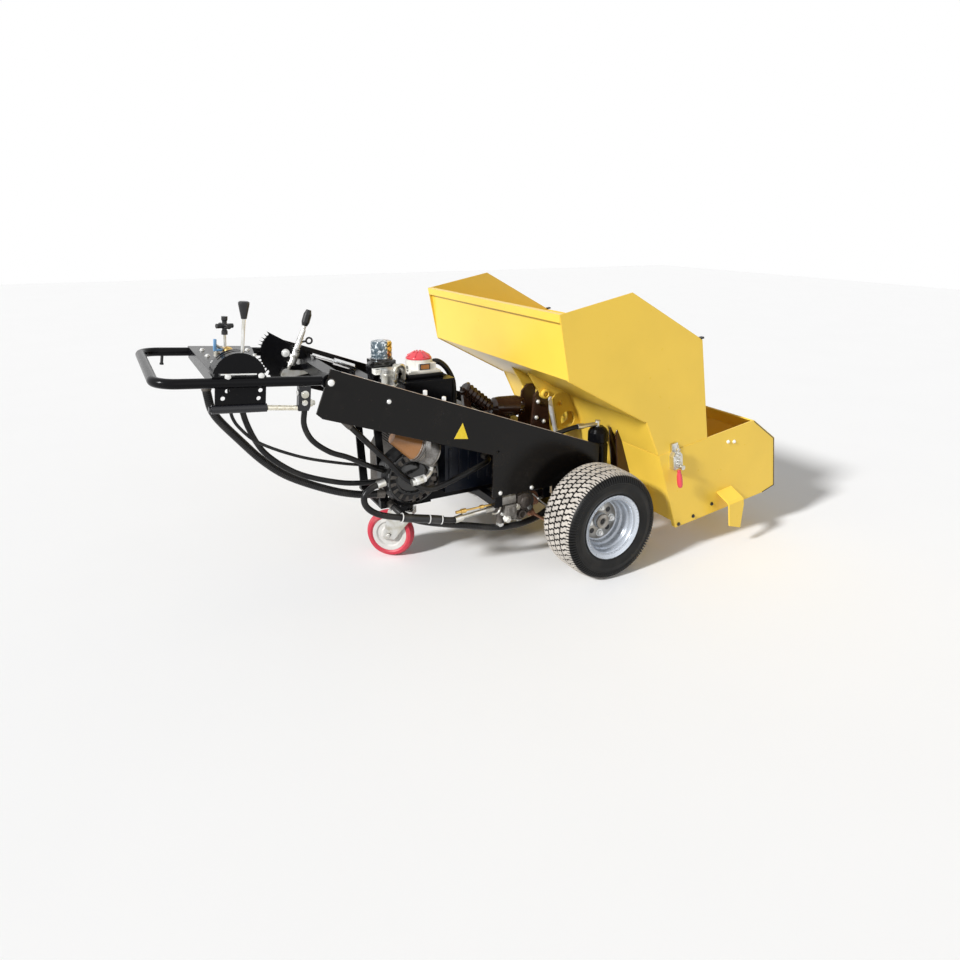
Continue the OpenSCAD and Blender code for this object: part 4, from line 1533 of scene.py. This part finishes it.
@dataclass
class LatchTrim:
    """Rings, rod and spring of the height latch."""

    finishes: Finishes
    y: float = 230.0
    foot: tuple[float, float] = (-950.0, 722.0)
    head: tuple[float, float] = (-877.0, 890.0)
    coil_points: int = 85
    coil_radius: float = 11.5
    coil_start: float = 104
    coil_rise: float = 0.42
    coil_turn: float = 0.52

    def build(self) -> None:
        """Makes the latch's small parts."""
        (x0, z0), (x1, z1) = self.foot, self.head
        run = math.hypot(x1 - x0, z1 - z0)
        start, end = (x0, self.y, z0), (x1, self.y, z1)
        solid = Solid()
        for at in (34, 58, 62, 66, 84, 92):
            wide = 16.5 if at < 70 else 13.5
            solid.lathe(start, end, [(8.5, at), (wide, at + 0.6), (wide, at + 3.6), (8.5, at + 4.2)], 24)
        solid.lathe(
            start, end, [(10.5, 96), (10.5, 104), (9.2, 108), (9.2, run * 0.86), (8.3, run * 0.93)], 20
        )
        solid.end("latch_rings", self.finishes["zinc"], "chassis", "zinc")
        coil = []
        side = Vector((0.917, 0, -0.4)) * self.coil_radius
        across = Vector((0, self.coil_radius, 0))
        for i in range(self.coil_points):
            angle, height = i * self.coil_turn, self.coil_start + i * self.coil_rise
            base = Vector(start).lerp(Vector(end), height / run)
            coil.append(base + side * math.cos(angle) + across * math.sin(angle))
        Solid().tube(coil, 1.3, 6).end("latch_spring", self.finishes["bright_steel"], "chassis", "zinc")


# Console on the handle


@dataclass
class ConsoleTrim:
    """Bolts, valve handle and fittings on the handle."""

    finishes: Finishes
    face: float = -285.2

    def build(self) -> None:
        """Makes the console's small parts."""
        bolts = Solid(Place.HANDLE)
        for x, z in ((-295, 18), (-201, 20)):
            bolts.lathe(
                (x, self.face, z),
                (x, self.face - 9, z),
                [(9, 0), (9, 2), (6.5, 2.2), (6.5, 6), (4, 7)],
                16,
            )
        for x, y in ((-300, -60), (-300, 60), (-150, 60), (-150, 180), (-300, 180)):
            bolts.lathe((x, y, 20.3), (x, y, 30), [(9, 0), (9, 2), (6, 2.2), (6, 6.5), (3.6, 7.6)], 14)
        bolts.block((-315, -286.6, 23.5), (-214, -285.1, 27.5))
        bolts.end("console_bolts", self.finishes["white_zinc"], "handle", "zinc")
        blue = Solid(Place.HANDLE)
        blue.block((-322, -203, 84), (-313, -193, 116)).block((-322, -203, 80), (-296, -193, 87))
        blue.end("valve_lever", self.finishes["valve_blue"], "handle", "zinc", 2.0)
        fittings = Solid(Place.HANDLE)
        fittings.lathe((-236, -190, 70), (-222, -190, 70), [(11, 0), (11, 9), (8, 10), (8, 14)], 6)
        fittings.lathe((-279, -149, 76), (-279, -136, 76), [(13, 0), (13, 8), (8, 9), (8, 13)], 6)
        fittings.lathe((-310, -185, 60), (-310, -185, 84), [(7, 0), (9, 2), (9, 14), (5, 16), (5, 22)], 12)
        fittings.lathe((-252, -251, 20), (-252, -251, 62), [(13, 0), (13, 8), (8, 12), (8, 36)], 16)
        fittings.end("valve_fittings", self.finishes["zinc"], "handle", "zinc")
        peg = Solid(Place.HANDLE).lathe(
            (-416, 281, -14), (-418, 281, -46), [(5, 0), (5, 24), (7, 26), (7, 31), (5, 32)], 14
        )
        peg.end("handle_peg", self.finishes["gloss_black"], "handle", "black_paint")
        strut = Solid(Place.HANDLE)
        strut.lathe((-53, -276, -70), (-38, -276, -70), [(12, 0), (12, 8), (8, 9), (8, 16)], 6)
        strut.lathe((-71, -289.5, -40), (-71, -298, -40), [(12, 0), (12, 3), (7, 3.5), (7, 8)], 16)
        strut.lathe((-71, -289.5, -66), (-71, -298, -66), [(9, 0), (9, 3), (6, 3.5), (6, 8)], 16)
        strut.lathe((-92, -276, -36), (-89.2, -276, -36), [(8, 0), (10, 1), (10, 2.6)], 16)
        strut.end("strut_fittings", self.finishes["zinc"], "handle", "zinc")


# Engine, pump and tank


@dataclass
class EngineTrim:
    """Fan grille, exhaust clamps, and the small parts of tank, filter, cup and pump."""

    finishes: Finishes
    repeat: Repeat
    filter: tuple[float, float] = (-533.0, -30.0)
    fan: Point = (-634.0, -184.0, 395.0)
    vanes: int = 18
    cap_ribs: int = 8
    vane_wobble: float = 0.03

    def grille(self) -> None:
        """Repeats one vane round the fan's mouth."""
        bm = bmesh.new()
        low, high, tilt = 0.067, 0.088, 0.003
        corners = [(-0.008, tilt), (0.008, -tilt), (0.008, -tilt - 0.0016), (-0.008, tilt - 0.0016)]
        rows = []
        for z, width in ((low, 0.7), (high, 1.0)):
            rows.append([bm.verts.new((x * width, y, z)) for x, y in corners])
        bridge(bm, rows)
        bmesh.ops.recalc_face_normals(bm, faces=bm.faces[:])
        piece = stand("fan_vanes", bm)
        start = ((self.fan[0] + AXLE_X) / 1000, (self.fan[1] - 20) / 1000, self.fan[2] / 1000)
        turn = (0, 2 * math.pi / self.vanes, 0)
        finish = self.finishes["cast"]
        self.repeat.apply(piece, self.vanes, turn, (0, 0, 0), start, finish, self.vane_wobble)
        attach(piece, "chassis")
        x, y, z = self.fan
        rings = Solid()
        rings.lathe(
            (x, y - 12, z),
            (x, y - 30, z),
            [(92, 0), (96, 2), (96, 9), (90, 10), (88, 6), (88, 0)],
            48,
            True,
        )
        rings.lathe(
            (x, y - 8, z),
            (x, y - 30, z),
            [(66, 0), (64, 5), (52, 12), (34, 16), (14, 17.5), (4, 18)],
            40,
        )
        rings.end("fan_rings", self.finishes["gloss_black"], "chassis", "black_plastic")

    def exhaust(self) -> None:
        """Makes the clamps of the exhaust can."""
        start, end = (-731.0, -250.0, 570.0), (-571.0, -250.0, 484.0)
        rings = Solid()
        for low, wide in ((94, 47.2), (112, 46.6), (118, 46.4), (168, 46.0)):
            rings.lathe(
                start,
                end,
                [(wide - 1.8, low), (wide, low + 0.5), (wide, low + 3), (wide - 1.8, low + 3.5)],
                40,
                True,
            )
        rings.end("exhaust_clamps", self.finishes["galvanised"], "chassis", "zinc")
        nut = Solid().lathe(
            (-586, -250, 486),
            (-586, -250, 400),
            [(17.4, 0), (20, 3), (20, 17), (17, 20), (15, 26), (15, 33)],
            16,
        )
        nut.lathe(
            (-619, -270, 414),
            (-680, -277, 406),
            [(9, 0), (13.6, 2), (13.6, 20), (14.6, 22), (14.6, 40), (9, 44)],
            14,
        )
        nut.end("exhaust_nuts", self.finishes["white_zinc"], "chassis", "zinc")

    def tank_bolts(self) -> None:
        """Makes the bolts beside the tank."""
        solid = Solid()
        solid.lathe((-619, -296, 575.3), (-619, -296, 583), [(6.5, 0), (6.5, 5), (4, 6)], 6)
        for x, z in ((-630.0, 730.0), (-561.0, 701.0)):
            solid.lathe((x, -300, z - 14), (x, -300, z + 6), [(8, 0), (8, 14), (5, 16)], 6)
        solid.end("tank_bolts", self.finishes["white_zinc"], "chassis", "zinc")

    def window(self) -> None:
        """Makes the oil window and its dark frame."""
        x0, x1, z0, z1, bar = -551, -517, 755, 772, 3
        pane = Solid().block((x0, -89.6, z0), (x1, -88.1, z1))
        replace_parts(pane.end("oil_window", self.finishes["amber"], "chassis", "amber"), "sight_window")
        frame = Solid()
        for low, high in ((z0 - bar, z0), (z1, z1 + bar)):
            frame.block((x0 - bar, -90.8, low), (x1 + bar, -88.0, high))
        for low, high in ((x0 - bar, x0), (x1, x1 + bar)):
            frame.block((low, -90.8, z0), (high, -88.0, z1))
        frame.end("window_frame", self.finishes["gloss_black"], "chassis", "black_plastic")

    def cap(self) -> None:
        """Makes the red filler cap with its ribs."""
        (x, y), cap = self.filter, Solid()
        profile = [(46, 0), (47, 1), (47, 6), (44, 8), (30, 19), (13, 26), (4, 27.5)]
        cap.lathe((x, y, 785.2), (x, y, 900), profile, 36)
        for i in range(self.cap_ribs):
            turn = Matrix.Rotation(i * 2 * math.pi / self.cap_ribs, 4, "Z") @ Matrix.Rotation(0.53, 4, "Y")
            cap.block((-1, -3.4, 22), (33, 3.4, 32.5), Matrix.Translation((x, y, 785)) @ turn)
        piece = cap.end("ribbed_cap", self.finishes["red_plastic"], "chassis", "red_plastic", 0.8)
        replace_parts(piece, "filter_cap")

    def cup(self) -> None:
        """Makes the clear cup on its collar."""
        collar = Solid().block((-690, 10, 751), (-606, 90, 778))
        collar.lathe((-647, 50, 776), (-647, 50, 900), [(42, 0), (42, 6), (40, 8)], 28)
        collar.end("cup_collar", self.finishes["gloss_black"], "chassis", "black_plastic", 2.0)
        ribs = [
            (38.6, 0), (39.6, 18), (38.4, 22), (39.8, 38), (38.4, 42), (39.6, 56), (36, 64), (22, 67),
            (6, 67.6),
        ]
        dome = Solid().lathe((-647, 50, 782), (-647, 50, 900), ribs, 14)
        piece = dome.end("faceted_cup", self.finishes["cup_glass"], "chassis", "clear")
        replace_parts(piece, "clear_cup")

    def filter_seat(self) -> None:
        """Makes the filter's white flange, its side port and the black base."""
        (fx, fy), flange = self.filter, Solid()
        flange.block((fx - 66, fy - 66, 740), (fx + 60, fy + 62, 748))
        flange.block((fx - 58, fy - 61, 748), (fx + 52, fy + 54, 752))
        flange.lathe(
            (-690, -24, 738),
            (-690, -24, 760),
            [(10, 0), (17, 1), (17, 5), (11, 6), (11, 16), (8, 18)],
            12,
        )
        flange.block((-703, -36, 738), (-612, 2, 756)).block((-684, -66, 723), (-640, -30, 745))
        flange.end("filter_flange", self.finishes["white_plastic"], "chassis", "white_plastic", 0.6)
        block = Solid().block((fx - 72, fy - 72, 723.2), (fx + 66, fy + 68, 740))
        block.end("filter_base", self.finishes["black_paint"], "chassis", "black_paint", 2.0)

    def tank_fittings(self) -> None:
        """Makes the bent pipes and fittings beside the filter."""
        pipes = Solid()
        bend = [
            (-664, -118, 735), (-664, -118, 762), (-656, -116, 778), (-640, -112, 784),
            (-626, -106, 776), (-620, -102, 760), (-620, -100, 728),
        ]
        pipes.tube(smooth_path(bend), 5.5, 12)
        pipes.tube(
            smooth_path([(-640, -46, 740), (-630, -46, 762), (-608, -44, 766), (-592, -40, 760)]), 8, 12
        )
        for x, y, z in ((-625, -30, 742), (-604, -62, 738), (-640, -62, 744), (-614, -8, 748)):
            pipes.lathe(
                (x, y, z - 16),
                (x, y, z + 30),
                [(13, 0), (13, 10), (9, 12), (9, 22), (12, 23), (12, 33), (6, 35)],
                6,
            )
        pipes.lathe((-674, -90, 745), (-674, -90, 770), [(28.4, 0), (31, 1), (31, 8), (28.4, 9)], 24)
        pipes.end("tank_fittings", self.finishes["zinc"], "chassis", "zinc")

    def pump_bolts(self) -> None:
        """Makes the pump's bolts."""
        bolts = Solid()
        for x, z in ((-318, 226), (-318, 286), (-206, 270), (-236, 290), (-290, 292), (-246, 212)):
            bolts.lathe((x, -285.2, z), (x, -296, z), [(8, 0), (8, 2), (6, 2.2), (6, 7), (3.5, 8)], 6)
        for x, z in ((-262, 250), (-212, 240)):
            bolts.lathe((x, -300.2, z), (x, -312, z), [(14, 0), (14, 5), (9, 6), (9, 9)], 6)
        bolts.end("pump_bolts", self.finishes["zinc"], "chassis", "zinc")

    def pump_pipes(self) -> None:
        """Makes the pump's ports, its thin rod and the small bent pipe."""
        pipes = Solid()
        pipes.lathe((-310, -255, 179.7), (-310, -255, 150), [(17, 0), (17, 9), (12, 11), (12, 16)], 6)
        pipes.lathe((-230, -255, 179.7), (-230, -255, 172), [(16, 0), (16, 6), (11, 7)], 6)
        pipes.lathe((-215, -262, 298.2), (-215, -262, 330), [(12, 0), (12, 8), (8, 9), (8, 18)], 6)
        pipes.lathe((-150, -255, 250), (-120, -255, 250), [(18, 0), (18, 10), (12, 12), (12, 24)], 6)
        pipes.lathe(
            (-193, -296, 286),
            (-125, -300, 221),
            [(2.6, 0), (2.6, 30), (5, 31), (5, 40), (2.6, 41), (2.6, 92)],
            8,
        )
        arc = smooth_path(
            [
                (-362, -292, 238), (-348, -294, 237), (-338, -295, 243), (-332, -295, 256),
                (-331, -290, 270),
            ],
        )
        pipes.tube(arc, 3.4, 10)
        pipes.end("pump_ports", self.finishes["zinc"], "chassis", "zinc")

    def pump_face(self) -> None:
        """Makes the pump's cast face, its white plug and its dark flange."""
        face = Solid()
        face.block((-326, -300, 266), (-268, -284, 296)).block((-314, -308, 222), (-268, -284, 262))
        face.block((-306, -311, 232), (-298, -306, 256)).block((-286, -311, 232), (-278, -306, 256))
        face.lathe((-277, -284, 214), (-277, -306, 214), [(17, 0), (17, 14), (12, 18), (9, 14)], 24)
        face.end("pump_face", self.finishes["pump_grey"], "chassis", "cast", 1.2)
        plug = Solid().lathe(
            (-305, -290, 214), (-305, -316, 206), [(10, 0), (15, 4), (15, 14), (10, 16), (10, 24)], 8
        )
        plug.end("pump_plug", self.finishes["white_plastic"], "chassis", "white_plastic")
        dark = Solid()
        dark.lathe((-238, -284, 216), (-238, -312, 216), [(18, 0), (18, 18), (14, 22), (10, 18)], 24)
        dark.prism(
            [(-262, 244), (-216, 226), (-196, 250), (-204, 286), (-236, 300), (-262, 290)], -306, -284
        )
        dark.lathe((-229, -304, 264), (-229, -320, 264), [(22, 0), (22, 6), (18, 9), (8, 10)], 28)
        dark.end("pump_flange", self.finishes["cast"], "chassis", "cast", 1.0)

    def pump_union(self) -> None:
        """Makes the rusty union and the brass pipe."""
        rust = Solid().lathe(
            (-187, -262, 205), (-187, -300, 205), [(15, 0), (17, 4), (17, 16), (11, 18), (11, 30)], 6
        )
        rust.lathe((-180, -288, 200), (-120, -288, 158), [(5, 0), (5, 66)], 10)
        rust.lathe((-176, -255, 250), (-140, -255, 250), [(24.6, 0), (27, 2), (27, 20), (20, 25)], 20)
        rust.end("pump_union", self.finishes["rusty"], "chassis", "cast")
        golds = Solid()
        golds.lathe(
            (-329, -272, 266),
            (-505, -270, 262),
            [
                (4, 0), (4, 60), (7, 61), (7, 76), (4, 77), (4, 132), (9, 133), (9, 152), (6, 153),
                (6, 172),
            ],
            8,
        )
        golds.end("brass_pipe", self.finishes["brass"], "chassis", "brass")

    def build(self) -> None:
        """Makes everything round the engine."""
        self.grille()
        self.exhaust()
        self.tank_bolts()
        self.window()
        self.cap()
        self.cup()
        self.filter_seat()
        self.tank_fittings()
        self.pump_bolts()
        self.pump_pipes()
        self.pump_face()
        self.pump_union()


# Paving unit


@dataclass
class UnitTrim:
    """Edging, bolts, clips and clamp parts of the paving unit."""

    finishes: Finishes
    face: float = 512.0
    edge: float = 3.2

    def edging(self) -> None:
        """Makes the black strip along the box's front edge on each side."""
        route = [(757.0, 402.0), (871.0, 296.5), (871.5, 86.0), (802.0, 75.0)]
        for side in (-1, 1):
            solid = Solid(Place.UNIT)
            y0, y1 = sorted((side * (self.face + 0.1), side * (self.face + 1.6)))
            for (xa, za), (xb, zb) in zip(route, route[1:]):
                run = math.hypot(xb - xa, zb - za)
                dx, dz = abs(zb - za) / run * self.edge, abs(xb - xa) / run * self.edge
                solid.prism([(xa, za), (xb, zb), (xb - dx, zb - dz), (xa - dx, za - dz)], y0, y1)
            name = f"box_edging_{side_word(side)}"
            solid.end(name, self.finishes["gloss_black"], "paving_unit", "black_plastic")

    def bolts(self) -> None:
        """Makes the bolts on the box sides."""
        bright, dark = Solid(Place.UNIT), Solid(Place.UNIT)
        head = [(8, 0), (8, 1.6), (6, 1.8), (6, 5), (3.5, 6)]
        for side in (-1, 1):
            for x, z in ((607, 356), (640, 347)):
                bright.lathe((x, side * self.face, z), (x, side * (self.face + 9), z), head, 6)
            for x, z in ((511, 117), (410, 98), (333, 90)):
                dark.lathe((x, side * self.face, z), (x, side * (self.face + 9), z), head, 6)
            low, high = sorted((side * (self.face - 16), side * (self.face - 1)))
            dark.block((476, low, 800), (493, high, 807))
        bright.end("box_bolts", self.finishes["white_zinc"], "paving_unit", "zinc")
        dark.end("box_dark_bolts", self.finishes["black_plastic"], "paving_unit", "black_plastic")

    def toggles(self) -> None:
        """Makes the hook, screw and spring of each clamp."""
        for side in (-1, 1):
            solid = Solid(Place.UNIT)
            y = side * (self.face + 24)
            for z, wide in ((418, 9), (404, 7), (390, 10), (376, 8), (362, 11)):
                solid.lathe(
                    (322, y, z),
                    (322.5, y, z - 12),
                    [(wide - 3, 0), (wide, 2), (wide, 7), (wide - 3, 9)],
                    10,
                )
            solid.lathe((322, y, 432), (323, y, 350), [(3, 0), (3, 80)], 10)
            low, high = sorted((y - side * 14, y + side * 2))
            solid.block((306, low, 340), (318, high, 366))
            solid.lathe((312, y, 392), (312, y + side * 12, 392), [(7, 0), (7, 3), (4, 3.5), (4, 9)], 8)
            solid.end(f"clamp_toggle_{side_word(side)}", self.finishes["zinc"], "paving_unit", "zinc")
        grips = Solid(Place.UNIT)
        for side in (-1, 1):
            y = side * (self.face + 38)
            profile = [(5, 0), (7, 2), (7, 12), (9.5, 18), (11, 40), (10.5, 60), (8, 70), (4, 73)]
            grips.lathe((310, y, 338), (313.5, y, 262), profile, 16)
        piece = grips.end("clamp_handles", self.finishes["red_plastic"], "paving_unit", "red_plastic")
        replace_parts(piece, "clamp_grips")

    def hinge(self) -> None:
        """Makes the rings round the hinge pins."""
        rings = Solid()
        for side in (-1, 1):
            start, end = (5, side * 65.5, 598), (5, side * 90, 598)
            rings.lathe(
                start,
                end,
                [(10.6, 0), (19, 0), (19.5, 2), (19.5, 12), (17, 14), (12, 14), (10.6, 12)],
                28,
                True,
            )
        rings.end("hinge_rings", self.finishes["yellow_paint"], "paving_unit", "yellow_paint")
        caps = Solid()
        for side in (-1, 1):
            caps.lathe((5, side * 69.2, 598), (5, side * 90, 598), [(9.6, 0), (9.6, 2), (5, 4)], 20)
        caps.end("hinge_caps", self.finishes["yellow_paint"], "chassis", "yellow_paint")
        bolts = Solid()
        for x, z in ((-20, 566), (-26, 500), (10, 480)):
            bolts.lathe((x, -56, z), (x, -80, z), [(9, 0), (9, 3), (6, 3.4), (6, 9), (3, 10)], 6)
        bolts.end("ear_bolts", self.finishes["white_zinc"], "chassis", "zinc")

    def welds(self) -> None:
        """Makes weld beads where the hopper's sheets meet."""
        heel, knee, corner = (-124.0, 782.0), (202.0, 545.0), (251.0, 400.0)
        for side in (-1, 1):
            solid = Solid(Place.UNIT)
            y = side * 505.0
            for (xa, za), (xb, zb) in ((heel, knee), (knee, corner)):
                count = int(math.hypot(xb - xa, zb - za) / 7)
                steps = [i / count for i in range(count)]
                beads = [Vector((xa + (xb - xa) * t, y, za + (zb - za) * t - 1.0)) for t in steps]
                solid.tube(beads, 2.6, 6)
            name = f"hopper_weld_{side_word(side)}"
            solid.end(name, self.finishes["yellow_paint"], "paving_unit", "yellow_paint")

    def build(self) -> None:
        """Makes the paving unit's small parts."""
        self.edging()
        self.bolts()
        self.toggles()
        self.hinge()
        self.welds()


@dataclass
class CasterTrim:
    """Axle nuts of the caster."""

    finishes: Finishes
    lean: float = math.radians(38.0)
    centre: Point = (-631.3, 33.9, 93.0)

    def build(self) -> None:
        """Makes the nuts on both ends of the caster's axle."""
        axis = Vector((math.sin(self.lean), math.cos(self.lean), 0.0))
        solid = Solid()
        for side in (-1, 1):
            start = Vector(self.centre) + axis * (side * 38.3)
            solid.lathe(
                tuple(start),
                tuple(start + axis * side),
                [(11, 0), (11, 2), (8.5, 2.2), (8.5, 8), (5, 9)],
                6,
            )
        solid.end("caster_nuts", self.finishes["zinc"], "caster_fork", "zinc")


@dataclass
class HoseTrim:
    """Crimped sleeves on the hoses' ends, and the wrap and white ties of the loop."""

    finishes: Finishes
    sleeve: float = 28.0
    steps: int = 12
    wrap: tuple[int, int] = (60, 79)
    ties: tuple[int, ...] = (60, 71, 77)

    def build(self) -> None:
        """Makes the sleeves of each body and the ties."""
        groups: dict[tuple[str, str], Solid] = {}
        for hose in HOSES:
            if not hose.sleeve:
                continue
            points = hose.curve(self.steps)
            for end, line in (("start", points), ("end", points[::-1])):
                run, kept = 0.0, [line[0]]
                for one, two in zip(line, line[1:]):
                    run += (two - one).length
                    kept.append(two)
                    if run > self.sleeve:
                        break
                body = "handle" if hose.crosses and end == "start" else "chassis"
                group = groups.setdefault((body, hose.crimp), Solid())
                group.tube(kept, hose.radius * 1000 + 1.8, 18)
        for (body, crimp), solid in groups.items():
            solid.end(f"hose_{crimp}_sleeves_{body}", self.finishes[crimp], body, "zinc")
        ties = Solid()
        loop = next(hose for hose in HOSES if hose.name == "hose_loop").curve(self.steps)
        wrap = Solid().tube(loop[slice(*self.wrap)], 15.0, 20)
        wrap.end("hose_wrap", self.finishes["black_plastic"], "chassis", "hose")
        band = [(14.6, 0), (16.6, 0.4), (16.6, 3.6), (14.6, 4)]
        for index in self.ties:
            ties.lathe(tuple(loop[index]), tuple(loop[index + 1]), band, 20, True)
        ties.end("hose_ties", self.finishes["tie_white"], "chassis", "white_plastic")


# What the CAD nodes look like


CAD_FINISH: dict[str, tuple[str, ...]] = {
    "plate_paint": ("side_plate_right", "side_plate_left"),
    "black_paint": (
        "frame_tray", "cross_members", "caster_mount", "oil_tank", "cup_block", "toothed_sector",
        "lift_cylinders", "handlebar", "console",
    ),
    "yellow_paint": (
        "hopper_sides", "hopper_back", "tower_front", "box_sides", "box_back", "box_front", "side_feet",
        "hinge_arms",
    ),
    "zinc": ("pipe_fittings", "latch_lever", "control_levers", "clamps", "caster_fork"),
    "bright_steel": ("gas_strut",),
    "white_zinc": ("lift_rod",),
    "strut_steel": ("tilt_strut",),
    "cast": ("wheel_motors", "pump_block", "engine"),
    "cast_aluminium": ("oil_filter",),
    "engine_blue": ("drive_case",),
    "brown_paint": ("muffler",),
    # The wall brackets are yellow parts; their dark brown is painted shade.
    "dark_brown_and_painted_shade": ("air_cleaner", "wall_brackets", "hinge_ears"),
    "brass": ("control_valve",),
    "white_plastic": ("tank_filter",),
    "black_plastic": ("fan_housing", "lever_knobs", "latch_grip"),
    "grey_nylon": ("caster_wheel",),
    "red_polyurethane": ("caster_tread",),
}


def dress_nodes(nodes: dict[str, bpy.types.Object], finishes: Finishes) -> None:
    """Gives every CAD node that stays in sight its finish.

    Args:
        nodes: The frame's nodes.
        finishes: The machine's materials.
    """
    for finish, names in CAD_FINISH.items():
        for name in names:
            for slot in nodes[name].material_slots:
                slot.material = finishes[finish]


def main() -> None:
    """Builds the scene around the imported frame."""
    logging.basicConfig(level=logging.INFO, format="%(message)s")
    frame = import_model()
    studio = Studio()
    studio.camera()
    finishes = Finishes()
    Hoses(finishes).build()
    dress_nodes(frame["nodes"], finishes)
    repeat = Repeat()
    for side in (-1, 1):
        DriveWheel(finishes, repeat, side).build()
    ChassisTrim(finishes).build()
    LatchTrim(finishes).build()
    ConsoleTrim(finishes).build()
    EngineTrim(finishes, repeat).build()
    UnitTrim(finishes).build()
    CasterTrim(finishes).build()
    HoseTrim(finishes).build()
    studio.light()


if __name__ == "__main__":
    main()
